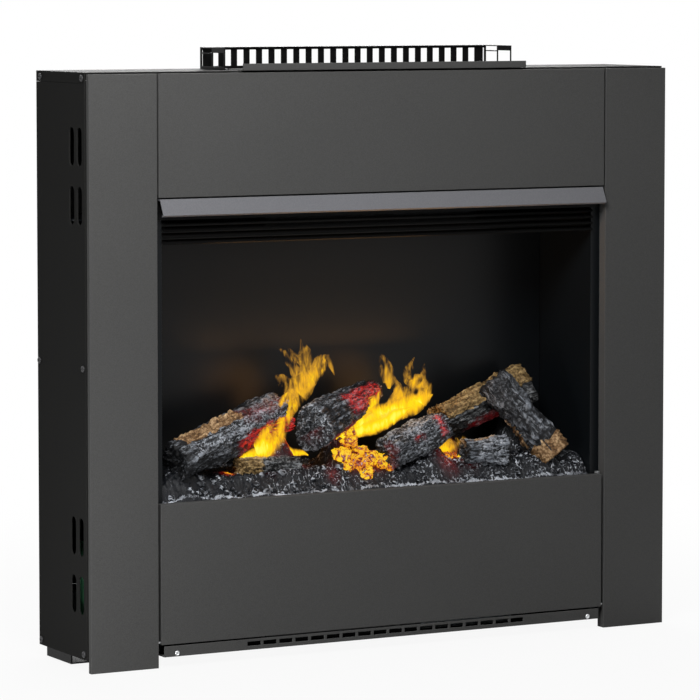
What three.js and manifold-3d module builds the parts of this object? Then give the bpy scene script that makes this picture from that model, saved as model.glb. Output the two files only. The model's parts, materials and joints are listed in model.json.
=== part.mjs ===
// Electric fireplace insert. A folded-sheet casing stands round an open firebox with a log bed,
// a fan heater blows out under the hood, and a drop-down flap covers the water-mist unit below.
// Millimetres, +Z up, the front faces -Y. The origin is under the middle of the whole object.
import * as THREE from 'three';
import { mergeVertices } from 'three/addons/utils/BufferGeometryUtils.js';
import Module from 'manifold-3d';

const wasm = await Module();
wasm.setup();

// ---------------------------------------------------------------- driving dimensions

const CASE_WIDTH = 680;
const CASE_HEIGHT = 600; // floor to the top of the front panels
const CASE_DEPTH = 126; // face of the front panels to the face of the back panel
const SHEET = 1.5; // casing panels
const THIN_SHEET = 1.2; // guards, louvres and brackets
const FIT = 0.3; // gap left where two pieces meet

const OPENING_WIDTH = 529; // between the two columns
const COLUMN_INSET = 0.8; // the side panels stand this far outside the columns
const COLUMN_RETURN = 12; // depth of the fold beside the opening
const COLUMN_EDGE = 6; // depth of the fold at the outside
const SHADOW_GAP = 2.5; // dark line between a column and its side panel
const GROUND_GAP = 12.3; // floor to the underside of the base plate

const SIDE_FOLD = 12; // folds of the side panels
const LID_RISE = 1.8; // the lid lies this far above the front panels
const LID_FOLD = 10.8; // height of the lid's folded edge
const VENT_WIDTH = 12;
const VENT_LENGTH = 39;
const VENT_PITCH_Y = 18.5; // between the two columns of side vents
const VENT_PITCH_Z = 59; // between the two rows of a group
const VENT_INSET = 19; // last vents to the side panel's front edge
const VENT_FROM_TOP = 72.5; // casing top to the middle of the upper row
const VENT_FROM_FLOOR = 76.5; // floor to the middle of the lower row

const FASCIA_HEIGHT = 124.3;
const FASCIA_GAP = 2.1; // each side of the upper fascia
const FASCIA_FOLD = 8;
const HOOD_PROUD = 8; // how far the hood stands in front of the panels
const HOOD_DROP = 16;
const HOOD_GAP = 1.7; // dark line above the hood
const HOOD_END_GAP = 3.5;
const LIP_DROP = 23.2; // fascia's lower edge down to the outlet lip's lower edge
const LOUVRE_COUNT = 4;
const LOUVRE_PITCH = 6.6;
const LOUVRE_DEPTH = 10;
const LOUVRE_DIP = 2.4; // each blade's front edge hangs this much lower than its back edge

const FIREBOX_WIDTH = 508; // between the firebox walls
const WALL_FLANGE = 18; // front flange of a firebox wall, behind the column
const BACK_SPACE = 6; // firebox back to casing back
const SHELF_SETBACK = 31; // front panels' face to the heater shelf's front edge

const RAIL_HEIGHT = 11;
const RAIL_WIDTH = 516;
const RAIL_FLANGE = 29;
const RAIL_SLOTS = 18;
const RAIL_SLOT_PITCH = 18.4;
const RAIL_SLOT_WIDTH = 15.5;
const RAIL_SLOT_HEIGHT = 4.5;

const FLAP_TOP = 166; // height of the hearth edge above the floor
const FLAP_GAP = 3.3; // each side of the flap
const FLAP_FOOT_GAP = 1.8; // base rail to the flap
const FLAP_FOLD = 10;
const HINGE_PIN_RADIUS = 1.2;
const HINGE_PIN_LENGTH = 8;
const HINGE_RISE = 2.3; // flap's lower edge up to the hinge axis
const CATCH_HEIGHT = 9;
const CATCH_RISE = 2.4; // how far a catch shows above the flap

const GUARD_WIDTH = 340; // comb guard on the lid
const GUARD_HEIGHT = 22.5;
const GUARD_DEPTH = 56;
const GUARD_FROM_BACK = 32; // casing back to the comb
const GUARD_FLANGE = 7;
const GUARD_BAND = 3; // solid band over and under the comb's slots
const GUARD_SLOTS = 22;
const GUARD_SLOT_PITCH = 14.57;
const GUARD_SLOT_WIDTH = 7.8;
const GUARD_WINDOW_TOP = 5.5; // solid band over the end wall's front window
const STRIP_WIDTH = 333; // low strip in front of the guard
const STRIP_HEIGHT = 7;
const STRIP_SETBACK = 2;
const STRIP_FLANGE = 13;
const OUTLET_WIDTH = 290; // air inlet in the lid, inside the guard
const OUTLET_DEPTH = 30;

const FOOT_LENGTH = 60;
const FOOT_WIDTH = 32;
const FOOT_INSET = 6; // foot to the casing's side

const BED_DROP = 16; // flap's top edge down to the bed tray
const BED_FRONT_GAP = 11.2; // front panels' face to the bed tray
const BED_LEDGE = 10; // support folded from each firebox wall
const BED_RISE = 20; // the bed climbs this much
const BED_RAMP = 24; // over this depth
const BED_RELIEF = 1.6; // height of the ember lumps
const LOG_RADIUS = 20; // of a thick log; heights and radii of the logs are given in it
const MIST_SLOT_WIDTH = 220;
const MIST_SLOT_DEPTH = 12;
const MIST_SLOT_FROM_BACK = 14;

const BAR_WIDTH = 16; // lamp bar, front to back
const BAR_FROM_FRONT = 14;
const BAR_CLEARANCE = 34; // bed tray down to the lamp bar
const LAMP_COUNT = 3;
const LAMP_PITCH = 130;
const LAMP_RADIUS = 6.5;
const LAMP_HEIGHT = 24;

const SUMP_WIDTH = 176;
const SUMP_HEADROOM = 34; // bed tray down to the sump's rim
const SUMP_WALL = 2.5;
const SUMP_CENTRE_X = -35;
const BAY_CLEARANCE = 4; // round the sump and the tank, front and back
const NEBULISER_RADIUS = 21;
const NEBULISER_HEIGHT = 18;
const FAN_SIZE = 40;
const FAN_THICKNESS = 12;
const FAN_WALL = 1.6;
const FAN_BLADES = 7;
const FAN_HUB_RADIUS = 9;

const TANK_WIDTH = 110;
const TANK_GAP = 6; // sump to tank
const TANK_WALL = 2.5;
const NECK_RADIUS = 14;
const NECK_HEIGHT = 9;
const CAP_RADIUS = 19;
const CAP_HEIGHT = 11;
const CAP_RIBS = 12;
const CAP_CLEARANCE = 5; // tank cap up to the bed tray

const PANEL_WIDTH = 104; // switch panel behind the flap
const PANEL_FROM_FRONT = 12.3;
const PANEL_FOOT = 20;
const PANEL_CENTRE_X = -188;
const PANEL_HEIGHT = 70;
const ROCKER_WIDTH = 13;
const ROCKER_HEIGHT = 18;
const BUTTON_RADIUS = 5;
const BUTTON_PROUD = 4;
const DIAL_RADIUS = 11;
const DIAL_DEPTH = 6.5;
const CONTROL_PITCH = 32; // between the rocker, the button and the dial
const CONTROL_GAP = 0.6; // running gap round each moving control

const HEATER_LENGTH = 250; // fan housing
const IMPELLER_RADIUS = 24;
const IMPELLER_BLADES = 18;
const HOUSING_GAP = 6; // impeller to the scroll
const HEATER_AXIS_RISE = 52; // shelf to the impeller's axis
const HEATER_AXIS_FROM_BACK = 42;
const MOTOR_RADIUS = 22;
const MOTOR_LENGTH = 42;
const SHAFT_RADIUS = 3;
const ELEMENT_RODS = 3;
const ELEMENT_ROD_RADIUS = 2.5;
const ELEMENT_FINS = 14;

const TRANSFORMER_WIDTH = 38;
const TRANSFORMER_DEPTH = 46;
const TRANSFORMER_HEIGHT = 44;
const BOARD_HEIGHT = 110;
const BOARD_DEPTH = 70;
const BOARD_THICKNESS = 1.6;
const BOARD_FROM_MIDDLE = 20; // the board stands this far in front of the cavity's middle
const INLET_WIDTH = 30;
const INLET_HEIGHT = 24;
const INLET_DEPTH = 20;
const INLET_MOUTH_WIDTH = 23;
const INLET_MOUTH_HEIGHT = 16;
const INLET_MOUTH_DEPTH = 15;
const INLET_RISE = 40; // base plate to the inlet's middle
const INLET_PLATE_WIDTH = 50; // twice the inlet's middle to the plate's inner edge
const INLET_PLATE_HEIGHT = 60;

// ---------------------------------------------------------------- derived places

const FRONT_Y = HOOD_PROUD / 2 - CASE_DEPTH / 2;
const BACK_Y = FRONT_Y + CASE_DEPTH;
const SIDE_X = CASE_WIDTH / 2;
const SIDE_INNER_X = SIDE_X - SHEET;
const OPENING_X = OPENING_WIDTH / 2;
const COLUMN_X = SIDE_X - COLUMN_INSET;
const SIDE_FRONT_Y = FRONT_Y + COLUMN_EDGE + SHADOW_GAP;
const BACK_INNER_Y = BACK_Y - SHEET;

const BASE_TOP = GROUND_GAP + SHEET;
const LID_TOP = CASE_HEIGHT + LID_RISE;
const LID_UNDERSIDE = LID_TOP - SHEET;
const LID_SKIRT_Z = LID_TOP - LID_FOLD;
const SIDE_TOP = LID_SKIRT_Z - FIT;

const FASCIA_BOTTOM = CASE_HEIGHT - FASCIA_HEIGHT;
const LIP_BOTTOM = FASCIA_BOTTOM - LIP_DROP;
const LIP_Y = FRONT_Y + FASCIA_FOLD + FIT;
const SHELF_BOTTOM = LIP_BOTTOM;
const SHELF_TOP = SHELF_BOTTOM + SHEET;
const SHELF_FRONT_Y = FRONT_Y + SHELF_SETBACK;

const RAIL_BOTTOM = GROUND_GAP - FIT - SHEET;
const RAIL_TOP = RAIL_BOTTOM + RAIL_HEIGHT;
const FLAP_BOTTOM = RAIL_TOP + FLAP_FOOT_GAP;
const FLAP_X = OPENING_X - FLAP_GAP;
const PIN_HOLE_RADIUS = HINGE_PIN_RADIUS + FIT;
const HINGE_Y = FRONT_Y + SHEET + PIN_HOLE_RADIUS;
const HINGE_Z = FLAP_BOTTOM + HINGE_RISE;

const WALL_X = FIREBOX_WIDTH / 2;
const WALL_FRONT_Y = FRONT_Y + COLUMN_RETURN + FIT;
const FIREBOX_BACK_Y = BACK_INNER_Y - BACK_SPACE - SHEET;

const TRAY_BOTTOM = FLAP_TOP - BED_DROP;
const TRAY_TOP = TRAY_BOTTOM + SHEET;
const LEDGE_TOP = TRAY_BOTTOM - FIT;
const BED_X = WALL_X - 2 * FIT;
const BED_FRONT_Y = FRONT_Y + BED_FRONT_GAP;
const BED_BACK_Y = FIREBOX_BACK_Y - 2 * FIT;
const EMBER_FRONT_Y = BED_FRONT_Y + THIN_SHEET + FIT;
const EMBER_FRONT_Z = FLAP_TOP - 1;
const MIST_SLOT_Y = BED_BACK_Y - MIST_SLOT_FROM_BACK;

const BAR_FRONT_Y = FRONT_Y + BAR_FROM_FRONT;
const BAR_BACK_Y = BAR_FRONT_Y + BAR_WIDTH;
const BAR_TOP = TRAY_BOTTOM - BAR_CLEARANCE;
const BAY_FRONT_Y = BAR_BACK_Y + BAY_CLEARANCE;
const BAY_BACK_Y = FIREBOX_BACK_Y - BAY_CLEARANCE;
const BAY_FLOOR = BASE_TOP + FIT;

const HEATER_Y = BACK_INNER_Y - HEATER_AXIS_FROM_BACK;
const HEATER_Z = SHELF_TOP + HEATER_AXIS_RISE;
const GUARD_BACK_Y = BACK_Y - GUARD_FROM_BACK;
const GUARD_BASE = LID_TOP + FIT;

const BACK_X = SIDE_X - SIDE_FOLD - FIT;
const CAVITY_X = (WALL_X + SHEET + SIDE_INNER_X) / 2;
const INLET_X = -CAVITY_X;
const INLET_Z = BASE_TOP + INLET_RISE;
const INLET_PLATE_X = INLET_X + INLET_PLATE_WIDTH / 2;
const INLET_PLATE_TOP = GROUND_GAP + INLET_PLATE_HEIGHT;

// ---------------------------------------------------------------- shape helpers

/** Turns a closed geometry into a solid that can be joined and cut. */
function toSolid(geometry) {
  const bare = geometry.clone();
  bare.deleteAttribute('normal');
  bare.deleteAttribute('uv');
  const merged = mergeVertices(bare, 1e-4);
  return new wasm.Manifold(new wasm.Mesh({
    numProp: 3,
    vertProperties: new Float32Array(merged.attributes.position.array),
    triVerts: new Uint32Array(merged.index.array),
  }));
}

/** Turns a solid back into a geometry. */
function toGeometry(solid) {
  const mesh = solid.getMesh();
  const geometry = new THREE.BufferGeometry();
  geometry.setAttribute('position', new THREE.BufferAttribute(new Float32Array(mesh.vertProperties), 3));
  geometry.setIndex(new THREE.BufferAttribute(new Uint32Array(mesh.triVerts), 1));
  geometry.computeVertexNormals();
  return geometry;
}

function join(geometries) {
  const solids = geometries.map(toSolid);
  return toGeometry(solids.reduce((total, solid) => total.add(solid)));
}

function cut(geometry, tools) {
  const solids = tools.map(toSolid);
  return toGeometry(solids.reduce((total, solid) => total.subtract(solid), toSolid(geometry)));
}

/** A box between two corners given per axis as [low, high]. */
function block([x0, x1], [y0, y1], [z0, z1]) {
  const box = new THREE.BoxGeometry(x1 - x0, y1 - y0, z1 - z0);
  return box.translate((x0 + x1) / 2, (y0 + y1) / 2, (z0 + z1) / 2);
}

function outline(points) {
  return new THREE.Shape(points.map(([u, v]) => new THREE.Vector2(u, v)));
}

const AXIS_FRAMES = {
  x: new THREE.Matrix4().set(0, 0, 1, 0, 1, 0, 0, 0, 0, 1, 0, 0, 0, 0, 0, 1), // outline is (y, z)
  y: new THREE.Matrix4().set(1, 0, 0, 0, 0, 0, -1, 0, 0, 1, 0, 0, 0, 0, 0, 1), // outline is (x, z)
  z: new THREE.Matrix4(), // outline is (x, y)
};

/** Extrudes a shape along an axis from low to high. */
function prism(shape, axis, [low, high], curveSegments = 8) {
  const options = { depth: high - low, bevelEnabled: false, curveSegments };
  const geometry = new THREE.ExtrudeGeometry(shape, options);
  geometry.applyMatrix4(AXIS_FRAMES[axis]);
  const start = axis === 'y' ? high : low;
  return geometry.translate(axis === 'x' ? start : 0, axis === 'y' ? start : 0, axis === 'z' ? start : 0);
}

/** Outline of a sheet bent along a path; its thickness lies to the left of the path. */
function foldOutline(path, thickness) {
  const points = path.map(([u, v]) => new THREE.Vector2(u, v));
  const normals = points.slice(1).map((point, i) => {
    const run = point.clone().sub(points[i]).normalize();
    return new THREE.Vector2(-run.y, run.x);
  });
  const inner = points.map((point, i) => {
    const before = normals[Math.max(i - 1, 0)];
    const after = normals[Math.min(i, normals.length - 1)];
    const mitre = before.clone().add(after);
    return point.clone().addScaledVector(mitre, (2 * thickness) / mitre.lengthSq());
  });
  return new THREE.Shape([...points, ...inner.reverse()]);
}

/** A slot with round ends, as a shape centred on (u, v) and standing upright. */
function slotShape(u, v, width, length) {
  const radius = width / 2;
  const reach = length / 2 - radius;
  const shape = new THREE.Shape();
  shape.absarc(u, v + reach, radius, 0, Math.PI, false);
  shape.absarc(u, v - reach, radius, Math.PI, 2 * Math.PI, false);
  shape.closePath();
  return shape;
}

function discShape(u, v, radius) {
  const shape = new THREE.Shape();
  shape.absarc(u, v, radius, 0, 2 * Math.PI, false);
  return shape;
}

/** A profile of [radius, height] points turned round the upright axis. */
function turned(profile, segments) {
  const points = profile.map(([radius, height]) => new THREE.Vector2(radius, height));
  return new THREE.LatheGeometry(points, segments).rotateX(Math.PI / 2);
}

/** Places of count copies, a pitch apart and centred on zero. */
function spread(count, pitch) {
  return Array.from({ length: count }, (_, i) => (i - (count - 1) / 2) * pitch);
}

/** Puts a pair of values in rising order, so that one rule serves the left and the right. */
function span(a, b) {
  return [Math.min(a, b), Math.max(a, b)];
}

// ---------------------------------------------------------------- finishes

const finish = (color, roughness, metalness) =>
  new THREE.MeshStandardMaterial({ color, roughness, metalness });

const FRONT_PAINT = () => finish(0x4a4a4b, 0.55, 0.2);
const SIDE_PAINT = () => finish(0x262625, 0.5, 0.2);
const HOOD_PAINT = () => finish(0x74757a, 0.45, 0.3);
const BLACK_PAINT = () => finish(0x141414, 0.6, 0.1);
const FIREBOX_PAINT = () => finish(0x1b1f22, 0.7, 0.1);
const STEEL = () => finish(0xa9acb0, 0.35, 0.9);
const BLACK_PLASTIC = () => finish(0x18191a, 0.45, 0);
const CLEAR_PLASTIC = () => finish(0x9fb4c0, 0.2, 0);
const EMBER = () => finish(0x202123, 0.3, 0);
const CHARRED_WOOD = () => finish(0x2d2a28, 0.8, 0);
const BARK = () => finish(0x7a6245, 0.85, 0);
const LAMP_GLASS = () => finish(0xf0e6c8, 0.15, 0);
const BOARD_GREEN = () => finish(0x1f4a30, 0.5, 0);
const COPPER = () => finish(0x8a4f2a, 0.4, 0.8);

const model = new THREE.Group();

/** Adds a named piece to a group, at a place in it. */
function addPiece(name, geometry, material, parent = model, place = [0, 0, 0]) {
  const mesh = new THREE.Mesh(geometry, material);
  mesh.name = name;
  mesh.position.set(...place);
  parent.add(mesh);
  return mesh;
}

function addGroup(place) {
  const group = new THREE.Group();
  group.position.set(...place);
  model.add(group);
  return group;
}

const SIDES = [['left', -1], ['right', 1]];

// ---------------------------------------------------------------- casing

function sidePanel(sign) {
  const path = [
    [sign * (SIDE_X - SIDE_FOLD), SIDE_FRONT_Y],
    [sign * SIDE_X, SIDE_FRONT_Y],
    [sign * SIDE_X, BACK_Y],
    [sign * (SIDE_X - SIDE_FOLD), BACK_Y],
  ];
  const bent = prism(foldOutline(sign > 0 ? path : path.reverse(), SHEET), 'z', [GROUND_GAP, SIDE_TOP]);
  const columns = [0, VENT_PITCH_Y].map((step) => SIDE_FRONT_Y + VENT_INSET - VENT_WIDTH / 2 + step);
  const rows = [
    CASE_HEIGHT - VENT_FROM_TOP,
    CASE_HEIGHT - VENT_FROM_TOP - VENT_PITCH_Z,
    VENT_FROM_FLOOR + VENT_PITCH_Z,
    VENT_FROM_FLOOR,
  ];
  const through = span(sign * (SIDE_X + 1), sign * (SIDE_INNER_X - 1));
  const slots = columns.flatMap((y) => rows.map((z) =>
    prism(slotShape(y, z, VENT_WIDTH, VENT_LENGTH), 'x', through, 3)));
  return cut(bent, slots);
}

function column(sign) {
  const path = [
    [sign * OPENING_X, FRONT_Y + COLUMN_RETURN],
    [sign * OPENING_X, FRONT_Y],
    [sign * COLUMN_X, FRONT_Y],
    [sign * COLUMN_X, FRONT_Y + COLUMN_EDGE],
  ];
  const bent = prism(foldOutline(sign > 0 ? path : path.reverse(), SHEET), 'z', [0, CASE_HEIGHT]);
  const cap = block(
    span(sign * (OPENING_X + SHEET / 2), sign * (COLUMN_X - SHEET / 2)),
    [FRONT_Y + SHEET / 2, SIDE_FRONT_Y - SHADOW_GAP],
    [CASE_HEIGHT - SHEET, CASE_HEIGHT]);
  return join([bent, cap]);
}

function topLid() {
  const plate = block([-SIDE_X, SIDE_X], [SIDE_FRONT_Y, BACK_Y], [LID_UNDERSIDE, LID_TOP]);
  const edges = SIDES.map(([, sign]) =>
    block(span(sign * SIDE_X, sign * SIDE_INNER_X), [SIDE_FRONT_Y, BACK_Y], [LID_SKIRT_Z, LID_TOP]));
  const rear = block([-SIDE_X, SIDE_X], [BACK_INNER_Y, BACK_Y], [LID_SKIRT_Z, LID_TOP]);
  const outletY = GUARD_BACK_Y - GUARD_DEPTH / 2;
  const outlet = block(
    [-OUTLET_WIDTH / 2, OUTLET_WIDTH / 2],
    [outletY - OUTLET_DEPTH / 2, outletY + OUTLET_DEPTH / 2],
    [LID_UNDERSIDE - 1, LID_TOP + 1]);
  return cut(join([plate, ...edges, rear]), [outlet]);
}

/** The back is closed by three plates: a large one, and a low strip beside the mains inlet's plate. */
function backPanel() {
  return block([-BACK_X, BACK_X], [BACK_INNER_Y, BACK_Y], [INLET_PLATE_TOP, SIDE_TOP]);
}

function lowerBackPanel() {
  return block([INLET_PLATE_X, BACK_X], [BACK_INNER_Y, BACK_Y], [GROUND_GAP, INLET_PLATE_TOP - FIT]);
}

function inletPlate() {
  const plate = block(
    [-BACK_X, INLET_PLATE_X - FIT], [BACK_INNER_Y, BACK_Y], [GROUND_GAP, INLET_PLATE_TOP - FIT]);
  const mouth = block(
    [INLET_X - INLET_MOUTH_WIDTH / 2, INLET_X + INLET_MOUTH_WIDTH / 2],
    [BACK_INNER_Y - 1, BACK_Y + 1],
    [INLET_Z - INLET_MOUTH_HEIGHT / 2, INLET_Z + INLET_MOUTH_HEIGHT / 2]);
  return cut(plate, [mouth]);
}

function upperFascia() {
  const half = OPENING_X - FASCIA_GAP;
  const foldBack = FRONT_Y + FASCIA_FOLD;
  const face = block([-half, half], [FRONT_Y, FRONT_Y + SHEET], [FASCIA_BOTTOM, CASE_HEIGHT]);
  const sides = SIDES.map(([, sign]) =>
    block(span(sign * half, sign * (half - SHEET)), [FRONT_Y, foldBack], [FASCIA_BOTTOM, CASE_HEIGHT]));
  const top = block([-half, half], [FRONT_Y, SIDE_FRONT_Y - FIT], [CASE_HEIGHT - SHEET, CASE_HEIGHT]);
  const bottom = block([-half, half], [FRONT_Y, foldBack], [FASCIA_BOTTOM, FASCIA_BOTTOM + SHEET]);
  return join([face, ...sides, top, bottom]);
}

function hoodDeflector() {
  const top = FASCIA_BOTTOM - HOOD_GAP;
  const path = [
    [LIP_Y - FIT, top],
    [FRONT_Y, top],
    [FRONT_Y - HOOD_PROUD, top - HOOD_DROP],
    [FRONT_Y - HOOD_PROUD + HOOD_PROUD / 2, top - HOOD_DROP - SHEET],
  ];
  const half = OPENING_X - HOOD_END_GAP;
  return prism(foldOutline(path, SHEET), 'x', [-half, half]);
}

function outletLip() {
  const half = OPENING_X - HOOD_END_GAP;
  const path = [
    [LIP_Y + 2 * SHEET, LIP_BOTTOM],
    [LIP_Y, LIP_BOTTOM],
    [LIP_Y, FASCIA_BOTTOM - FIT],
  ];
  return prism(foldOutline(path.reverse(), SHEET), 'x', [-half, half]);
}

function baseRail() {
  const path = [
    [FRONT_Y, RAIL_TOP],
    [FRONT_Y, RAIL_BOTTOM],
    [FRONT_Y + RAIL_FLANGE, RAIL_BOTTOM],
  ];
  const bent = prism(foldOutline(path, SHEET), 'x', [-RAIL_WIDTH / 2, RAIL_WIDTH / 2]);
  const slotZ = RAIL_BOTTOM + SHEET + (RAIL_HEIGHT - SHEET) / 2;
  const slots = spread(RAIL_SLOTS, RAIL_SLOT_PITCH).map((x) => block(
    [x - RAIL_SLOT_WIDTH / 2, x + RAIL_SLOT_WIDTH / 2],
    [FRONT_Y - 1, FRONT_Y + SHEET + 1],
    [slotZ - RAIL_SLOT_HEIGHT / 2, slotZ + RAIL_SLOT_HEIGHT / 2]));
  return cut(bent, slots);
}

function rearFoot(sign) {
  const outer = SIDE_INNER_X - FOOT_INSET;
  const inner = outer - FOOT_WIDTH;
  const top = GROUND_GAP - FIT;
  const path = [[sign * inner, 0], [sign * outer, 0], [sign * outer, top], [sign * inner, top]];
  const shape = foldOutline(sign > 0 ? path : path.reverse(), SHEET);
  return prism(shape, 'y', [BACK_INNER_Y - FIT - FOOT_LENGTH, BACK_INNER_Y - FIT]);
}

function buildCasing() {
  for (const [side, sign] of SIDES) {
    addPiece(`${side}_side_panel`, sidePanel(sign), SIDE_PAINT());
    addPiece(`${side}_column`, column(sign), FRONT_PAINT());
    addPiece(`rear_foot_${side}`, rearFoot(sign), BLACK_PAINT());
  }
  addPiece('top_lid', topLid(), SIDE_PAINT());
  addPiece('back_panel', backPanel(), SIDE_PAINT());
  addPiece('lower_back_panel', lowerBackPanel(), SIDE_PAINT());
  addPiece('inlet_plate', inletPlate(), SIDE_PAINT());
  const plateHalf = SIDE_INNER_X - FIT;
  const plateFront = WALL_FRONT_Y + SHEET;
  addPiece('base_plate',
    block([-plateHalf, plateHalf], [plateFront, BACK_INNER_Y - FIT], [GROUND_GAP, BASE_TOP]), BLACK_PAINT());
  addPiece('upper_fascia', upperFascia(), FRONT_PAINT());
  addPiece('hood_deflector', hoodDeflector(), HOOD_PAINT());
  addPiece('outlet_lip', outletLip(), BLACK_PAINT());
  addPiece('base_rail', baseRail(), FRONT_PAINT());
}

// ---------------------------------------------------------------- vent guard on the lid

function endWall(sign) {
  const thickness = span(sign * GUARD_WIDTH / 2, sign * (GUARD_WIDTH / 2 - THIN_SHEET));
  const through = [thickness[0] - 1, thickness[1] + 1];
  const front = GUARD_BACK_Y - GUARD_DEPTH;
  const middle = GUARD_BACK_Y - GUARD_DEPTH / 2;
  const top = GUARD_BASE + GUARD_HEIGHT;
  const low = GUARD_BASE + GUARD_BAND;
  const barZ = top - GUARD_WINDOW_TOP;
  const wall = cut(block(thickness, [front, GUARD_BACK_Y], [GUARD_BASE, top]), [
    block(through, [front + THIN_SHEET, middle - THIN_SHEET / 2], [low, barZ]),
    block(through, [middle + THIN_SHEET / 2, GUARD_BACK_Y - GUARD_BAND], [low, barZ - THIN_SHEET]),
    block(through, [middle + THIN_SHEET / 2, GUARD_BACK_Y - GUARD_BAND], [barZ, top - THIN_SHEET]),
  ]);
  const foot = block(
    span(sign * GUARD_WIDTH / 2, sign * (GUARD_WIDTH / 2 - GUARD_FLANGE)),
    [front, GUARD_BACK_Y - GUARD_BAND],
    [GUARD_BASE, GUARD_BASE + THIN_SHEET]);
  return join([wall, foot]);
}

function topVentGuard() {
  const half = GUARD_WIDTH / 2;
  const top = GUARD_BASE + GUARD_HEIGHT;
  const through = [GUARD_BACK_Y - THIN_SHEET - 1, GUARD_BACK_Y + 1];
  const slotZ = [GUARD_BASE + GUARD_BAND, top - GUARD_BAND];
  const slots = spread(GUARD_SLOTS, GUARD_SLOT_PITCH).map((x) =>
    block([x - GUARD_SLOT_WIDTH / 2, x + GUARD_SLOT_WIDTH / 2], through, slotZ));
  const reliefs = SIDES.map(([, sign]) =>
    block(span(sign * (half - THIN_SHEET), sign * (half - GUARD_BAND)), through, slotZ));
  const plate = block([-half, half], [GUARD_BACK_Y - THIN_SHEET, GUARD_BACK_Y], [GUARD_BASE, top]);
  const flange = block([-half, half], [GUARD_BACK_Y - GUARD_FLANGE, GUARD_BACK_Y], [top - THIN_SHEET, top]);
  return join([cut(plate, [...slots, ...reliefs]), flange, endWall(-1), endWall(1)]);
}

function ventGuardStrip() {
  const front = FRONT_Y + STRIP_SETBACK;
  const path = [
    [front, GUARD_BASE + STRIP_HEIGHT],
    [front, GUARD_BASE],
    [front + STRIP_FLANGE, GUARD_BASE],
  ];
  return prism(foldOutline(path, THIN_SHEET), 'x', [-STRIP_WIDTH / 2, STRIP_WIDTH / 2]);
}

function buildVentGuard() {
  addPiece('top_vent_guard', topVentGuard(), BLACK_PAINT());
  addPiece('vent_guard_strip', ventGuardStrip(), FRONT_PAINT());
}

// ---------------------------------------------------------------- firebox and louvres

function fireboxWall(sign) {
  const top = SHELF_BOTTOM - FIT;
  const path = [
    [sign * WALL_X, BACK_INNER_Y - FIT],
    [sign * WALL_X, WALL_FRONT_Y],
    [sign * (WALL_X + WALL_FLANGE), WALL_FRONT_Y],
  ];
  const bent = prism(foldOutline(sign > 0 ? path : path.reverse(), SHEET), 'z', [BAY_FLOOR, top]);
  const ledge = block(
    span(sign * (WALL_X + SHEET / 2), sign * (WALL_X - BED_LEDGE)),
    [BED_FRONT_Y, BED_BACK_Y],
    [LEDGE_TOP - SHEET, LEDGE_TOP]);
  return join([bent, ledge]);
}

function louvreBlade() {
  const half = WALL_X - FIT;
  const path = [
    [LOUVRE_DEPTH, LOUVRE_DIP],
    [THIN_SHEET, 0],
    [0, -THIN_SHEET],
  ];
  return prism(foldOutline(path.reverse(), THIN_SHEET), 'x', [-half, half]);
}

function buildFirebox() {
  for (const [side, sign] of SIDES) {
    addPiece(`firebox_${side}_wall`, fireboxWall(sign), FIREBOX_PAINT());
  }
  addPiece('firebox_back', block(
    [-WALL_X + FIT, WALL_X - FIT],
    [FIREBOX_BACK_Y, FIREBOX_BACK_Y + SHEET],
    [BAY_FLOOR, SHELF_BOTTOM - FIT]), FIREBOX_PAINT());
  addPiece('heater_shelf', block(
    [-SIDE_INNER_X + FIT, SIDE_INNER_X - FIT],
    [SHELF_FRONT_Y, BACK_INNER_Y - FIT],
    [SHELF_BOTTOM, SHELF_TOP]), FIREBOX_PAINT());
  for (let i = 0; i < LOUVRE_COUNT; i += 1) {
    const z = LIP_BOTTOM - FIT - LOUVRE_DIP - THIN_SHEET - i * LOUVRE_PITCH;
    addPiece(`louvre_blade_${i + 1}`, louvreBlade(), BLACK_PAINT(), model, [0, LIP_Y, z]);
  }
}

// ---------------------------------------------------------------- flap below the firebox

function flapPanel() {
  const foldBack = FRONT_Y + FLAP_FOLD;
  const face = block([-FLAP_X, FLAP_X], [FRONT_Y, FRONT_Y + SHEET], [FLAP_BOTTOM, FLAP_TOP]);
  const top = block([-FLAP_X, FLAP_X], [FRONT_Y, foldBack], [FLAP_TOP - SHEET, FLAP_TOP]);
  const ears = SIDES.map(([, sign]) =>
    block(span(sign * FLAP_X, sign * (FLAP_X - SHEET)), [FRONT_Y, foldBack], [FLAP_BOTTOM, FLAP_TOP]));
  const pinHole = prism(discShape(HINGE_Y, HINGE_Z, PIN_HOLE_RADIUS), 'x', [-SIDE_X, SIDE_X], 8);
  return cut(join([face, top, ...ears]), [pinHole]);
}

function catchTab(sign) {
  const root = OPENING_X - FIT;
  const rear = WALL_FRONT_Y - FIT;
  const plate = block(
    span(sign * root, sign * (root - THIN_SHEET)),
    [FRONT_Y + FLAP_FOLD - SHEET, rear],
    [FLAP_TOP + CATCH_RISE - 2 * CATCH_HEIGHT, FLAP_TOP + CATCH_RISE]);
  const tongue = block(
    span(sign * root, sign * (FLAP_X - SHEET)),
    [rear - THIN_SHEET, rear],
    [FLAP_TOP + CATCH_RISE - CATCH_HEIGHT, FLAP_TOP + CATCH_RISE]);
  return join([plate, tongue]);
}

function buildFlap() {
  addPiece('lower_fascia', flapPanel(), FRONT_PAINT());
  for (const [side, sign] of SIDES) {
    const pin = prism(discShape(0, 0, HINGE_PIN_RADIUS), 'x', span(0, -sign * HINGE_PIN_LENGTH), 8);
    addPiece(`hinge_pin_${side}`, pin, STEEL(), model, [sign * (OPENING_X - FIT), HINGE_Y, HINGE_Z]);
    addPiece(`flap_catch_${side}`, catchTab(sign), STEEL());
  }
}

// ---------------------------------------------------------------- fuel bed and logs

/** A place on the bed: shares of its width and depth, and log radii above the hearth edge. */
function onBed(across, back, rise) {
  const depth = BED_BACK_Y - BED_FRONT_Y;
  return [across * BED_X, BED_FRONT_Y + back * depth, FLAP_TOP + rise * LOG_RADIUS];
}

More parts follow.
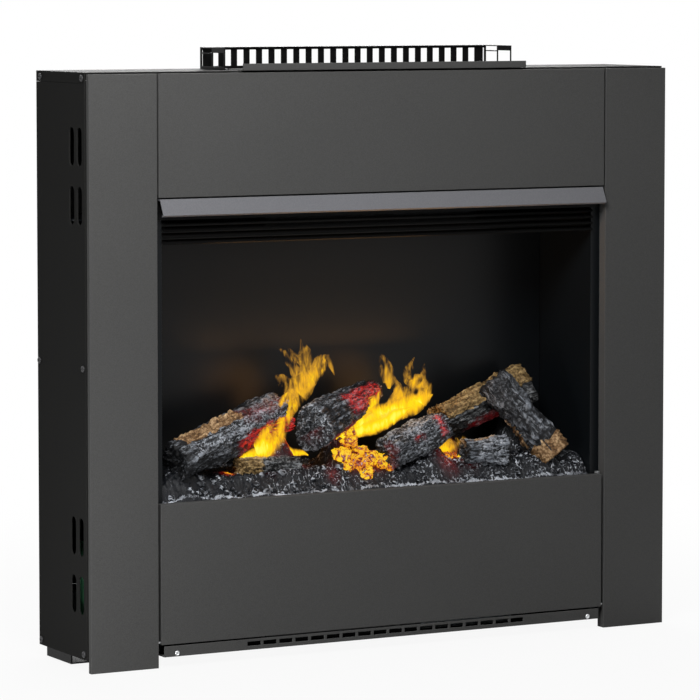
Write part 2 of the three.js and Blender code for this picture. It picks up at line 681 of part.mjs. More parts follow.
// Heaps moulded into the ember bed, which carry the logs: place, and height and radius in log radii.
const HEAPS = [
  { at: [-0.88, 0.2], rise: 0.45, radius: 0.8 },
  { at: [-0.39, 0.46], rise: 1.9, radius: 0.9 },
  { at: [-0.13, 0.4], rise: 2.1, radius: 0.85 },
  { at: [0.3, 0.38], rise: 1.25, radius: 0.8 },
  { at: [0.45, 0.6], rise: 1.1, radius: 0.8 },
  { at: [0.79, 0.74], rise: 2.5, radius: 0.95 },
];

/** Height of the ember bed's surface: it climbs from the front, is lumpy and carries heaps. */
function bedHeight(x, y) {
  const climb = THREE.MathUtils.smoothstep(y, EMBER_FRONT_Y, EMBER_FRONT_Y + BED_RAMP) * BED_RISE;
  const lumps = Math.sin(x / 11 + 2 * Math.sin(y / 9)) * Math.cos(y / 8 + Math.sin(x / 17));
  const heaps = HEAPS.map(({ at, rise, radius }) => {
    const [heapX, heapY] = onBed(...at, 0);
    const away = Math.hypot(x - heapX, y - heapY) / (radius * LOG_RADIUS);
    return rise * LOG_RADIUS * Math.exp(-(away ** 2));
  });
  return EMBER_FRONT_Z + climb + BED_RELIEF * lumps + Math.max(...heaps);
}

/** The bed as a closed block with a lumpy top. */
function emberBlock(lift, low, columns = 42, rows = 10) {
  const halfWidth = BED_X - FIT;
  const front = EMBER_FRONT_Y;
  const depth = BED_BACK_Y - FIT - front;
  const box = new THREE.BoxGeometry(2 * halfWidth, depth, 1, columns, rows, 1);
  box.translate(0, front + depth / 2, 0);
  const place = box.attributes.position;
  for (let i = 0; i < place.count; i += 1) {
    const z = place.getZ(i) > 0 ? bedHeight(place.getX(i), place.getY(i)) + lift : low;
    place.setZ(i, z);
  }
  return box;
}

function mistSlot() {
  return block(
    [-MIST_SLOT_WIDTH / 2, MIST_SLOT_WIDTH / 2],
    [MIST_SLOT_Y - MIST_SLOT_DEPTH / 2, MIST_SLOT_Y + MIST_SLOT_DEPTH / 2],
    [TRAY_BOTTOM - 1, FLAP_TOP + 4 * BED_RISE]);
}

/**
 * A rough log between two points. Its section swells by lobes, flattens by squash, and narrows
 * from one end radius to the other.
 */
function logShape({ from, to, radii, squash, lobes, seed }, growth) {
  const start = new THREE.Vector3(...from);
  const end = new THREE.Vector3(...to);
  const along = end.clone().sub(start).normalize();
  start.addScaledVector(along, -growth);
  end.addScaledVector(along, growth);
  const across = new THREE.Vector3(0, 0, 1).cross(along).normalize();
  const up = along.clone().cross(across);
  const rings = 9;
  const sides = 12;
  const points = [];
  for (let i = 0; i <= rings; i += 1) {
    const t = i / rings;
    const centre = start.clone().lerp(end, t);
    const base = THREE.MathUtils.lerp(radii[0], radii[1], t) * LOG_RADIUS;
    for (let j = 0; j < sides; j += 1) {
      const angle = (j / sides) * 2 * Math.PI;
      const ridges = 0.09 * Math.sin(lobes * angle + seed + 2 * t);
      const swell = 1 + ridges + 0.07 * Math.sin(5 * t + 2 * angle + seed);
      const radius = base * swell + growth;
      const point = centre.clone();
      point.addScaledVector(across, radius * Math.cos(angle));
      point.addScaledVector(up, radius * squash * Math.sin(angle));
      points.push(point);
    }
  }
  const triangles = [];
  for (let i = 0; i < rings; i += 1) {
    for (let j = 0; j < sides; j += 1) {
      const a = i * sides + j;
      const b = i * sides + ((j + 1) % sides);
      triangles.push(a, b, a + sides, b, b + sides, a + sides);
    }
  }
  const last = rings * sides;
  for (let j = 1; j < sides - 1; j += 1) {
    triangles.push(0, j + 1, j);
    triangles.push(last, last + j, last + j + 1);
  }
  const geometry = new THREE.BufferGeometry();
  geometry.setAttribute('position', new THREE.Float32BufferAttribute(points.flatMap((p) => p.toArray()), 3));
  geometry.setIndex(triangles);
  return geometry;
}

// In the order in which they are laid; each one rests on the bed and on those before it.
const LOGS = [
  {
    name: 'log_rear_right', material: BARK, lobes: 3, seed: 1, squash: 0.95,
    from: onBed(0.41, 0.58, 2.9), to: onBed(0.85, 0.71, 4.55), radii: [1, 1.05],
  },
  {
    name: 'log_left', material: CHARRED_WOOD, lobes: 4, seed: 2, squash: 0.98,
    from: onBed(-0.91, 0.18, 1.95), to: onBed(-0.37, 0.48, 4), radii: [1, 1.05],
  },
  {
    name: 'log_middle', material: CHARRED_WOOD, lobes: 3, seed: 4, squash: 0.97,
    from: onBed(-0.31, 0.1, 3.15), to: onBed(0.08, 0.63, 4.65), radii: [1.15, 0.8],
  },
  {
    name: 'log_short', material: CHARRED_WOOD, lobes: 4, seed: 3, squash: 1,
    from: onBed(0.06, 0.19, 1.65), to: onBed(0.36, 0.35, 2.85), radii: [0.85, 0.8],
  },
  {
    name: 'log_leaning', material: CHARRED_WOOD, lobes: 2, seed: 5, squash: 1.9,
    from: onBed(0.865, 0.15, 1.05), to: onBed(0.625, 0.42, 5.05), radii: [0.45, 0.45],
  },
  {
    name: 'chunk_right', material: CHARRED_WOOD, lobes: 3, seed: 6, squash: 0.9,
    from: onBed(0.44, 0.24, 1.45), to: onBed(0.63, 0.26, 1.3), radii: [0.7, 0.9],
  },
  {
    name: 'chunk_left', material: BARK, lobes: 3, seed: 7, squash: 0.85,
    from: onBed(-0.6, 0.3, 1.4), to: onBed(-0.33, 0.3, 1.25), radii: [0.55, 0.55],
  },
];

function buildFuelBed() {
  const apron = block(
    [-BED_X, BED_X], [BED_FRONT_Y, BED_FRONT_Y + THIN_SHEET], [TRAY_BOTTOM, EMBER_FRONT_Z - 2 * BED_RELIEF]);
  const plate = block([-BED_X, BED_X], [BED_FRONT_Y, BED_BACK_Y], [TRAY_BOTTOM, TRAY_TOP]);
  addPiece('fuel_bed_tray', cut(join([plate, apron]), [mistSlot()]), BLACK_PAINT());
  addPiece('ember_bed', cut(emberBlock(0, TRAY_TOP + FIT), [mistSlot()]), EMBER());

  const logSpace = toSolid(block(
    [-BED_X + FIT, BED_X - FIT], [EMBER_FRONT_Y, BED_BACK_Y - FIT], [TRAY_TOP, SHELF_BOTTOM]));
  let taken = toSolid(emberBlock(FIT, TRAY_BOTTOM));
  for (const log of LOGS) {
    const whole = toSolid(logShape(log, 0)).intersect(logSpace).subtract(taken);
    addPiece(log.name, toGeometry(whole), log.material());
    taken = taken.add(toSolid(logShape(log, FIT)));
  }
}

// ---------------------------------------------------------------- lamps

function lampShape() {
  const profile = [
    [0, 0],
    [LAMP_RADIUS, 0],
    [LAMP_RADIUS, LAMP_HEIGHT * 0.3],
    [LAMP_RADIUS * 0.7, LAMP_HEIGHT * 0.4],
    [LAMP_RADIUS, LAMP_HEIGHT * 0.6],
    [LAMP_RADIUS * 0.85, LAMP_HEIGHT * 0.85],
    [0, LAMP_HEIGHT],
  ];
  return turned(profile, 16);
}

function buildLamps() {
  const half = WALL_X - FIT;
  const path = [
    [BAR_FRONT_Y, BAR_TOP - SHEET - LAMP_RADIUS],
    [BAR_FRONT_Y, BAR_TOP],
    [BAR_BACK_Y, BAR_TOP],
  ];
  addPiece('lamp_bar', prism(foldOutline(path.reverse(), SHEET), 'x', [-half, half]), STEEL());
  const middle = (BAR_FRONT_Y + BAR_BACK_Y) / 2;
  spread(LAMP_COUNT, LAMP_PITCH).forEach((x, i) => {
    addPiece(`lamp_${i + 1}`, lampShape(), LAMP_GLASS(), model, [x, middle, BAR_TOP + FIT]);
  });
}

// ---------------------------------------------------------------- water-mist unit

const SUMP_X = [SUMP_CENTRE_X - SUMP_WIDTH / 2, SUMP_CENTRE_X + SUMP_WIDTH / 2];
const SUMP_TOP = TRAY_BOTTOM - SUMP_HEADROOM;
const FAN_CENTRE_Z = SUMP_TOP - FAN_SIZE / 2;
const FAN_CENTRE_Y = (BAY_FRONT_Y + BAY_BACK_Y) / 2;
const FAN_BORE = FAN_SIZE / 2 - FAN_WALL;

function sumpTray() {
  const outer = block(SUMP_X, [BAY_FRONT_Y, BAY_BACK_Y], [BAY_FLOOR, SUMP_TOP]);
  const inner = block(
    [SUMP_X[0] + SUMP_WALL, SUMP_X[1] - SUMP_WALL],
    [BAY_FRONT_Y + SUMP_WALL, BAY_BACK_Y - SUMP_WALL],
    [BAY_FLOOR + SUMP_WALL, SUMP_TOP + 1]);
  const port = prism(
    discShape(FAN_CENTRE_Y, FAN_CENTRE_Z, FAN_BORE), 'x', [SUMP_X[0] - 1, SUMP_X[0] + SUMP_WALL + 1], 12);
  return cut(outer, [inner, port]);
}

function nebuliser() {
  const rim = NEBULISER_RADIUS * 0.8;
  const profile = [
    [0, 0],
    [NEBULISER_RADIUS, 0],
    [NEBULISER_RADIUS, NEBULISER_HEIGHT * 0.7],
    [rim, NEBULISER_HEIGHT],
    [rim * 0.6, NEBULISER_HEIGHT],
    [rim * 0.6, NEBULISER_HEIGHT * 0.8],
    [0, NEBULISER_HEIGHT * 0.8],
  ];
  return turned(profile, 24);
}

function fanFrame() {
  const half = FAN_SIZE / 2;
  const bore = prism(discShape(0, 0, FAN_BORE), 'x', [-1, FAN_THICKNESS + 1], 12);
  const body = cut(block([0, FAN_THICKNESS], [-half, half], [-half, half]), [bore]);
  const spokeHalf = FAN_WALL;
  const spokes = [
    block([0, FAN_WALL], [-half, half], [-spokeHalf, spokeHalf]),
    block([0, FAN_WALL], [-spokeHalf, spokeHalf], [-half, half]),
  ];
  const boss = prism(discShape(0, 0, FAN_HUB_RADIUS * 0.8), 'x', [0, FAN_WALL + FIT], 8);
  return join([body, ...spokes, boss]);
}

function fanRotor() {
  const depth = [FAN_WALL + 2 * FIT, FAN_THICKNESS - FIT];
  const hub = prism(discShape(0, 0, FAN_HUB_RADIUS), 'x', depth, 8);
  const reach = FAN_BORE - 1;
  const blades = Array.from({ length: FAN_BLADES }, (_, i) => {
    const chord = FAN_THICKNESS * 0.3;
    const blade = block([-chord, chord], [-FAN_WALL / 2, FAN_WALL / 2], [FAN_HUB_RADIUS * 0.8, reach]);
    blade.rotateZ(Math.PI / 5);
    blade.translate((depth[0] + depth[1]) / 2, 0, 0);
    return blade.rotateX((i / FAN_BLADES) * 2 * Math.PI);
  });
  return join([hub, ...blades]);
}

const TANK_X = [SUMP_X[1] + TANK_GAP, SUMP_X[1] + TANK_GAP + TANK_WIDTH];
const CAP_TOP = TRAY_BOTTOM - CAP_CLEARANCE;
const TANK_TOP = CAP_TOP - CAP_HEIGHT;
const TANK_CENTRE = [(TANK_X[0] + TANK_X[1]) / 2, (BAY_FRONT_Y + BAY_BACK_Y) / 2];

function waterTank() {
  const inset = (range) => [range[0] + TANK_WALL, range[1] - TANK_WALL];
  const shell = block(TANK_X, [BAY_FRONT_Y, BAY_BACK_Y], [BAY_FLOOR, TANK_TOP]);
  const neckTop = TANK_TOP + NECK_HEIGHT;
  const neck = prism(discShape(...TANK_CENTRE, NECK_RADIUS), 'z', [TANK_TOP - TANK_WALL, neckTop], 12);
  const water = block(inset(TANK_X), inset([BAY_FRONT_Y, BAY_BACK_Y]), inset([BAY_FLOOR, TANK_TOP]));
  const boreShape = discShape(...TANK_CENTRE, NECK_RADIUS - TANK_WALL);
  const bore = prism(boreShape, 'z', [TANK_TOP - 2 * TANK_WALL, neckTop + 1], 12);
  return cut(join([shell, neck]), [water, bore]);
}

function tankCap() {
  const inner = NECK_RADIUS + FIT;
  const roof = NECK_HEIGHT + FIT;
  const skirt = CAP_RADIUS - 1;
  const cap = turned([
    [0, roof],
    [inner, roof],
    [inner, FIT],
    [skirt, FIT],
    [skirt, CAP_HEIGHT],
    [0, CAP_HEIGHT],
  ], 32);
  const ribs = Array.from({ length: CAP_RIBS }, (_, i) => {
    const rib = block([CAP_RADIUS - 2, CAP_RADIUS], [-1, 1], [FIT, CAP_HEIGHT - 1]);
    return rib.rotateZ((i / CAP_RIBS) * 2 * Math.PI);
  });
  return join([cap, ...ribs]);
}

function buildMistUnit() {
  addPiece('sump_tray', sumpTray(), BLACK_PLASTIC());
  addPiece('nebuliser', nebuliser(), BLACK_PLASTIC(), model,
    [SUMP_CENTRE_X, TANK_CENTRE[1], BAY_FLOOR + SUMP_WALL + FIT]);
  const fan = addGroup([SUMP_X[0] - FIT - FAN_THICKNESS, FAN_CENTRE_Y, FAN_CENTRE_Z]);
  addPiece('mist_fan_frame', fanFrame(), BLACK_PLASTIC(), fan);
  addPiece('mist_fan_rotor', fanRotor(), BLACK_PLASTIC(), fan);
  addPiece('water_tank', waterTank(), CLEAR_PLASTIC());
  addPiece('tank_cap', tankCap(), BLACK_PLASTIC(), model, [...TANK_CENTRE, TANK_TOP]);
}

// ---------------------------------------------------------------- switch panel behind the flap

const PANEL_Z = BAY_FLOOR + PANEL_HEIGHT / 2;
const PANEL_Y = FRONT_Y + PANEL_FROM_FRONT;
const CONTROL_X = spread(3, CONTROL_PITCH);

function switchPanel() {
  const half = PANEL_WIDTH / 2;
  const through = [-1, THIN_SHEET + 1];
  const rockerHalf = ROCKER_WIDTH / 2 + FIT;
  const rockerReach = ROCKER_HEIGHT / 2 + 2 * CONTROL_GAP;
  const plate = cut(block([-half, half], [0, THIN_SHEET], [-PANEL_HEIGHT / 2, PANEL_HEIGHT / 2]), [
    block([CONTROL_X[0] - rockerHalf, CONTROL_X[0] + rockerHalf], through, [-rockerReach, rockerReach]),
    prism(discShape(CONTROL_X[1], 0, BUTTON_RADIUS + CONTROL_GAP), 'y', through),
    prism(discShape(CONTROL_X[2], 0, SHAFT_RADIUS + CONTROL_GAP), 'y', through),
  ]);
  const foot = block([-half, half], [0, PANEL_FOOT], [-PANEL_HEIGHT / 2, -PANEL_HEIGHT / 2 + THIN_SHEET]);
  return join([plate, foot]);
}

function rocker() {
  const half = ROCKER_HEIGHT / 2;
  const profile = outline([
    [4, -half * 0.7], [4, half * 0.7], [-3, half], [-3.4, half * 0.4], [-4, 0], [-6, -half],
  ]);
  return prism(profile, 'x', [-ROCKER_WIDTH / 2, ROCKER_WIDTH / 2]);
}

function pushButton() {
  const crown = BUTTON_PROUD * 0.25;
  const profile = [
    [0, 0],
    [BUTTON_RADIUS, 0],
    [BUTTON_RADIUS, 2 * BUTTON_PROUD - crown],
    [BUTTON_RADIUS * 0.8, 2 * BUTTON_PROUD],
    [0, 2 * BUTTON_PROUD],
  ];
  return turned(profile, 24).rotateX(Math.PI / 2).translate(0, BUTTON_PROUD, 0);
}

function effectDial() {
  const face = -FIT - DIAL_DEPTH;
  const shape = discShape(0, 0, DIAL_RADIUS);
  const knob = prism(shape, 'y', [face, -FIT], 12);
  const grip = block([-1.5, 1.5], [face - 1.5, face + 1], [-DIAL_RADIUS * 0.9, DIAL_RADIUS * 0.9]);
  const shaft = prism(discShape(0, 0, SHAFT_RADIUS), 'y', [-FIT - 1, 3 * SHAFT_RADIUS], 8);
  return join([knob, grip, shaft]);
}

function buildControls() {
  const controls = addGroup([PANEL_CENTRE_X, PANEL_Y, PANEL_Z]);
  addPiece('switch_panel', switchPanel(), BLACK_PAINT(), controls);
  addPiece('main_rocker', rocker(), BLACK_PLASTIC(), controls, [CONTROL_X[0], THIN_SHEET / 2, 0]);
  addPiece('heat_button', pushButton(), BLACK_PLASTIC(), controls, [CONTROL_X[1], 0, 0]);
  addPiece('effect_dial', effectDial(), BLACK_PLASTIC(), controls, [CONTROL_X[2], 0, 0]);
}

// ---------------------------------------------------------------- fan heater behind the fascia

const SCROLL_RADIUS = IMPELLER_RADIUS + HOUSING_GAP;

function fanHousing() {
  const half = HEATER_LENGTH / 2;
  const floor = -HEATER_AXIS_RISE + FIT;
  const front = SHELF_FRONT_Y - HEATER_Y;
  const turns = 10;
  const scroll = Array.from({ length: turns + 1 }, (_, i) => {
    const angle = -Math.PI / 2 + (i / turns) * Math.PI;
    return [SCROLL_RADIUS * Math.cos(angle), SCROLL_RADIUS * Math.sin(angle)];
  });
  const back = prism(
    foldOutline([[front, floor], [-SCROLL_RADIUS / 2, floor], ...scroll], THIN_SHEET), 'x', [-half, half]);
  const tongueTop = -IMPELLER_RADIUS / 2;
  const tongue = prism(foldOutline([
    [front, floor + 2 * MOTOR_RADIUS * 0.6],
    [-IMPELLER_RADIUS - HOUSING_GAP, tongueTop - HOUSING_GAP],
    [-IMPELLER_RADIUS - HOUSING_GAP, IMPELLER_RADIUS / 2],
  ], THIN_SHEET), 'x', [-half, half]);
  const reach = SCROLL_RADIUS + THIN_SHEET;
  const plates = [-half, half - THIN_SHEET].map((x) =>
    block([x, x + THIN_SHEET], [front, reach], [floor, reach]));
  const shaftHole = prism(discShape(0, 0, SHAFT_RADIUS + FIT), 'x', [-half - 1, half + 1], 8);
  return cut(join([back, tongue, ...plates]), [shaftHole]);
}

function impeller() {
  const half = HEATER_LENGTH / 2 - THIN_SHEET - 2;
  const rim = 5;
  const discs = [-half, -1, half - 2].map((x) =>
    prism(discShape(0, 0, IMPELLER_RADIUS), 'x', [x, x + 2], 10));
  const blades = Array.from({ length: IMPELLER_BLADES }, (_, i) => {
    const blade = block([-half, half], [-THIN_SHEET / 2, THIN_SHEET / 2], [-rim, 0]);
    blade.rotateX(-Math.PI / 7);
    blade.translate(0, 0, IMPELLER_RADIUS - 0.5);
    return blade.rotateX((i / IMPELLER_BLADES) * 2 * Math.PI);
  });
  const shaft = prism(
    discShape(0, 0, SHAFT_RADIUS), 'x', [-HEATER_LENGTH / 2, HEATER_LENGTH / 2 + MOTOR_LENGTH / 3], 8);
  return join([...discs, ...blades, shaft]);
}

function motor() {
  const bore = SHAFT_RADIUS + FIT;
  const profile = [
    [bore, 0],
    [MOTOR_RADIUS * 0.9, 0],
    [MOTOR_RADIUS, 3],
    [MOTOR_RADIUS, MOTOR_LENGTH - 3],
    [MOTOR_RADIUS * 0.9, MOTOR_LENGTH],
    [0, MOTOR_LENGTH],
    [0, MOTOR_LENGTH / 2],
    [bore, MOTOR_LENGTH / 2],
    [bore, 0],
  ];
  return turned(profile, 24).rotateY(Math.PI / 2);
}

function heatingElement() {
  const half = HEATER_LENGTH / 2 - THIN_SHEET - FIT;
  const height = 2 * ELEMENT_ROD_RADIUS * (ELEMENT_RODS + 1);
  const width = 4 * ELEMENT_ROD_RADIUS;
  const rods = spread(ELEMENT_RODS, 2 * ELEMENT_ROD_RADIUS + 1).map((z) =>
    prism(discShape(0, z + height / 2, ELEMENT_ROD_RADIUS), 'x', [-half, half], 3));
  const fins = spread(ELEMENT_FINS, (2 * half - THIN_SHEET) / (ELEMENT_FINS - 1)).map((x) =>
    block([x - THIN_SHEET / 2, x + THIN_SHEET / 2], [-width / 2, width / 2], [0, height]));
  return join([...rods, ...fins]);
}

function buildHeater() {
  const heater = addGroup([0, HEATER_Y, HEATER_Z]);
  addPiece('heater_fan_housing', fanHousing(), STEEL(), heater);
  addPiece('heater_fan_impeller', impeller(), STEEL(), heater);
  addPiece('heater_fan_motor', motor(), COPPER(), heater, [HEATER_LENGTH / 2 + FIT, 0, 0]);
  const elementY = SHELF_FRONT_Y - HEATER_Y + 4 * ELEMENT_ROD_RADIUS;
  addPiece('heating_element', heatingElement(), STEEL(), heater,
    [0, elementY, -HEATER_AXIS_RISE + THIN_SHEET + 2 * FIT]);
}

// ---------------------------------------------------------------- electrics in the side spaces

function transformer() {
  const x = TRANSFORMER_WIDTH / 2;
  const y = TRANSFORMER_DEPTH / 2;
  const core = block([-x, x], [-y, y], [TRANSFORMER_HEIGHT * 0.15, TRANSFORMER_HEIGHT * 0.85]);
  const coil = block(
    [-x * 0.7, x * 0.7], [-y * 0.75, y * 0.75], [TRANSFORMER_HEIGHT * 0.03, TRANSFORMER_HEIGHT]);
  const foot = block([-x, x], [-y - 6, y + 6], [0, TRANSFORMER_HEIGHT * 0.05]);
  return join([coil, core, foot]);
}

// Relays, capacitors and chips on the control board: height, width, and place across and up it.
const BOARD_COMPONENTS = [
  [8, 16, -24, 20],
  [12, 14, 0, 20],
  [6, 10, 22, 26],
  [10, 18, -18, 52],
  [5, 12, 12, 60],
  [7, 9, -10, 84],
  [12, 12, 20, 90],
];

function controlBoard() {
  const board = block([0, BOARD_THICKNESS], [-BOARD_DEPTH / 2, BOARD_DEPTH / 2], [SHEET, BOARD_HEIGHT]);
  const foot = block([0, PANEL_FOOT], [-BOARD_DEPTH / 2, BOARD_DEPTH / 2], [0, SHEET]);
  const components = BOARD_COMPONENTS.map(([height, width, y, z]) =>
    block([1, BOARD_THICKNESS + height], [y - width / 2, y + width / 2], [z - width / 2, z + width / 2]));
  return join([board, foot, ...components]);
}

function mainsInlet() {
  const body = block(
    [-INLET_WIDTH / 2, INLET_WIDTH / 2], [-INLET_DEPTH, 0], [-INLET_HEIGHT / 2, INLET_HEIGHT / 2]);
  const mouth = block(
    [-INLET_MOUTH_WIDTH / 2, INLET_MOUTH_WIDTH / 2],
    [-INLET_MOUTH_DEPTH, 1],
    [-INLET_MOUTH_HEIGHT / 2, INLET_MOUTH_HEIGHT / 2]);
  const pins = spread(3, INLET_MOUTH_WIDTH / 3.4).map((x) =>
    block([x - 1, x + 1], [-INLET_MOUTH_DEPTH - 1, -INLET_MOUTH_DEPTH * 0.6], [-2.5, 2.5]));
  return join([cut(body, [mouth]), ...pins]);
}

function buildElectrics() {
  const midY = (WALL_FRONT_Y + BACK_INNER_Y) / 2;
  addPiece('transformer', transformer(), COPPER(), model, [CAVITY_X, midY, BAY_FLOOR]);
  addPiece('control_board', controlBoard(), BOARD_GREEN(), model,
    [-CAVITY_X - PANEL_FOOT, midY - BOARD_FROM_MIDDLE, BAY_FLOOR]);
  addPiece('mains_inlet', mainsInlet(), BLACK_PLASTIC(), model, [INLET_X, BACK_INNER_Y - FIT, INLET_Z]);
}

// ---------------------------------------------------------------- the whole object

buildCasing();
buildVentGuard();
buildFirebox();
buildFlap();
buildFuelBed();
buildLamps();
buildMistUnit();
buildControls();
buildHeater();
buildElectrics();

export default model;
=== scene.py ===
"""Looks of a slim electric fireplace insert: painted casing, charred logs, glossy embers and flames.

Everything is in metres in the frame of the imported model: +X right, +Y to the back, +Z up.
"""
import json
import math
import random

import bmesh
import bpy
from mathutils import Matrix, Vector, kdtree, noise


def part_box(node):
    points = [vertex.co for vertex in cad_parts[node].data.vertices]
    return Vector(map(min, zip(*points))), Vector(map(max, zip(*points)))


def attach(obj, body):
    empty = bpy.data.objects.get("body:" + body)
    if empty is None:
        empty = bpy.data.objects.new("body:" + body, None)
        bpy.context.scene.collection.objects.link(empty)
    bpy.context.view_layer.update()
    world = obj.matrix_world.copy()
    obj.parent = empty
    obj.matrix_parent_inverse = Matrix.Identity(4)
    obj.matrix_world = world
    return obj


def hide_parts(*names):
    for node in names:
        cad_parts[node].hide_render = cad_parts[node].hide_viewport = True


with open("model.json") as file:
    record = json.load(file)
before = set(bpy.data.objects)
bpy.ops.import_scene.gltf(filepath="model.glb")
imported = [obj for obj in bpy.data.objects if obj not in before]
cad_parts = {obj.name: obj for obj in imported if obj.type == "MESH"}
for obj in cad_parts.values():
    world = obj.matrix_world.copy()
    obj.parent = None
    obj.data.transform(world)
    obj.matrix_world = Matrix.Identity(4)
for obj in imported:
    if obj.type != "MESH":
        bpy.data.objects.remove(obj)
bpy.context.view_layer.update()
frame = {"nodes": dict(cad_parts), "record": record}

# ---------------------------------------------------------------- places taken from the frame

TRAY_LOW, TRAY_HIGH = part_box("fuel_bed_tray")
BED_X = TRAY_HIGH.x
BED_FRONT = TRAY_LOW.y
BED_BACK = TRAY_HIGH.y
HEARTH_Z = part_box("lower_fascia")[1].z  # top edge of the flap
EMBER_LOW, EMBER_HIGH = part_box("ember_bed")
SIDE_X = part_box("right_side_panel")[1].x
FRONT_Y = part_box("left_column")[0].y
LOG_RADIUS = 0.020


def on_bed(across, back, rise):
    """A place on the bed: shares of its width and depth, and log radii above the hearth edge."""
    return Vector((across * BED_X, BED_FRONT + back * (BED_BACK - BED_FRONT), HEARTH_Z + rise * LOG_RADIUS))


def smoothstep(low, high, value):
    t = min(max((value - low) / (high - low), 0.0), 1.0)
    return t * t * (3 - 2 * t)


def band(value, low, high, soft):
    return smoothstep(low - soft, low + soft, value) * (1 - smoothstep(high - soft, high + soft, value))


def mix(a, b, t):
    return a + (b - a) * t


# ---------------------------------------------------------------- node materials


class Finish:
    """A node material. Each method adds a node and returns its output socket."""

    def __init__(self, name):
        self.material = bpy.data.materials.new(name)
        self.material.use_nodes = True
        self.tree = self.material.node_tree
        self.tree.nodes.clear()
        self.output = self.tree.nodes.new("ShaderNodeOutputMaterial")
        self.place = self.node("ShaderNodeTexCoord").outputs["Object"]

    def node(self, kind, inputs=None, **settings):
        made = self.tree.nodes.new(kind)
        for key, value in settings.items():
            setattr(made, key, value)
        for key, value in (inputs or {}).items():
            self.fill(made.inputs[key], value)
        return made

    def fill(self, socket, value):
        if isinstance(value, bpy.types.NodeSocket):
            self.tree.links.new(value, socket)
        else:
            socket.default_value = value

    def stretched(self, scale):
        return self.node("ShaderNodeMapping", {"Vector": self.place, "Scale": scale}).outputs[0]

    def noise(self, scale, detail=3.0, roughness=0.5, vector=None, distortion=0.0):
        inputs = {"Vector": vector or self.place, "Scale": scale, "Detail": detail,
                  "Roughness": roughness, "Distortion": distortion}
        return self.node("ShaderNodeTexNoise", inputs).outputs["Fac"]

    def cells(self, scale):
        return self.node("ShaderNodeTexVoronoi", {"Vector": self.place, "Scale": scale}).outputs["Distance"]

    def attribute(self, name):
        return self.node("ShaderNodeAttribute", attribute_name=name).outputs["Fac"]

    def math(self, operation, a, b=0.0, clamp=False):
        return self.node("ShaderNodeMath", {0: a, 1: b}, operation=operation, use_clamp=clamp).outputs[0]

    def times(self, a, b):
        return self.math("MULTIPLY", a, b)

    def plus(self, a, b):
        return self.math("ADD", a, b)

    def rise(self, value, low, high):
        """0 below low, 1 above high and smooth between them; falls instead where low > high."""
        inputs = {"Value": value, "From Min": low, "From Max": high, "To Min": 0.0, "To Max": 1.0}
        return self.node("ShaderNodeMapRange", inputs, interpolation_type="SMOOTHSTEP").outputs[0]

    def ramp(self, value, *stops):
        made = self.node("ShaderNodeValToRGB", {"Fac": value})
        elements = made.color_ramp.elements
        while len(elements) < len(stops):
            elements.new(1.0)
        for element, (position, colour) in zip(elements, stops):
            element.position = position
            element.color = (*colour, 1.0)
        return made.outputs["Color"]

    def blend(self, factor, a, b):
        made = self.node("ShaderNodeMix", data_type="RGBA")
        self.fill(made.inputs[0], factor)
        self.fill(made.inputs[6], a if isinstance(a, bpy.types.NodeSocket) else (*a, 1.0))
        self.fill(made.inputs[7], b if isinstance(b, bpy.types.NodeSocket) else (*b, 1.0))
        return made.outputs[2]

    def bump(self, height, distance, normal=None):
        inputs = {"Height": height, "Distance": distance, "Strength": 1.0}
        if normal:
            inputs["Normal"] = normal
        return self.node("ShaderNodeBump", inputs).outputs["Normal"]

    def soft_edges(self, radius):
        """Normals that round off the sharp bends of a sheet, and where those bends are."""
        normal = self.node("ShaderNodeBevel", {"Radius": radius}, samples=4).outputs["Normal"]
        flat = self.node("ShaderNodeNewGeometry").outputs["True Normal"]
        agreement = self.node("ShaderNodeVectorMath", {0: normal, 1: flat}, operation="DOT_PRODUCT").outputs["Value"]
        return normal, self.rise(agreement, 0.97, 0.80)

    def principled(self, **inputs):
        named = {key.replace("_", " "): value for key, value in inputs.items()}
        shader = self.node("ShaderNodeBsdfPrincipled", named)
        self.tree.links.new(shader.outputs[0], self.output.inputs["Surface"])
        return shader.outputs[0]


def scaled(colour, amount):
    return tuple(channel * amount for channel in colour)


def paint(name, colour, roughness, ior, grain=0.10, edge=0.5):
    """Powder-coated sheet: fine grain, faint clouds, and a painted highlight that makes the bends slightly paler."""
    f = Finish(name)
    speck = f.noise(1300, 2.0)
    cloud = f.noise(5, 3.0)
    fine = f.blend(f.rise(speck, 0.35, 0.65), scaled(colour, 1 - grain), scaled(colour, 1 + grain))
    base = f.blend(f.times(f.rise(cloud, 0.3, 0.75), 0.10), fine, scaled(colour, 1.6))
    normal, bends = f.soft_edges(0.0009)
    # Painted highlight: the bends are lightened towards 2.2 times the paint colour, by the edge amount.
    base = f.blend(f.times(bends, edge), base, scaled(colour, 2.2))
    rough = f.plus(f.times(cloud, 0.12), roughness - 0.06)
    f.principled(Base_Color=base, Roughness=rough, IOR=ior, Normal=f.bump(speck, 0.00006, normal))
    return f.material


def zinc(name, colour, roughness, grain_axis=(1, 1, 1)):
    """Plated steel with a faint rolling grain and cloudy spangles."""
    f = Finish(name)
    grain = f.noise(900, 3.0, vector=f.stretched(grain_axis))
    spangle = f.cells(140)
    base = f.blend(f.rise(grain, 0.3, 0.7), scaled(colour, 0.82), scaled(colour, 1.1))
    base = f.blend(f.times(f.rise(spangle, 0.2, 0.8), 0.25), base, scaled(colour, 0.7))
    rough = f.plus(f.times(grain, 0.2), roughness - 0.1)
    normal, _ = f.soft_edges(0.0004)
    f.principled(Base_Color=base, Roughness=rough, Metallic=1.0, Normal=f.bump(grain, 0.00003, normal))
    return f.material


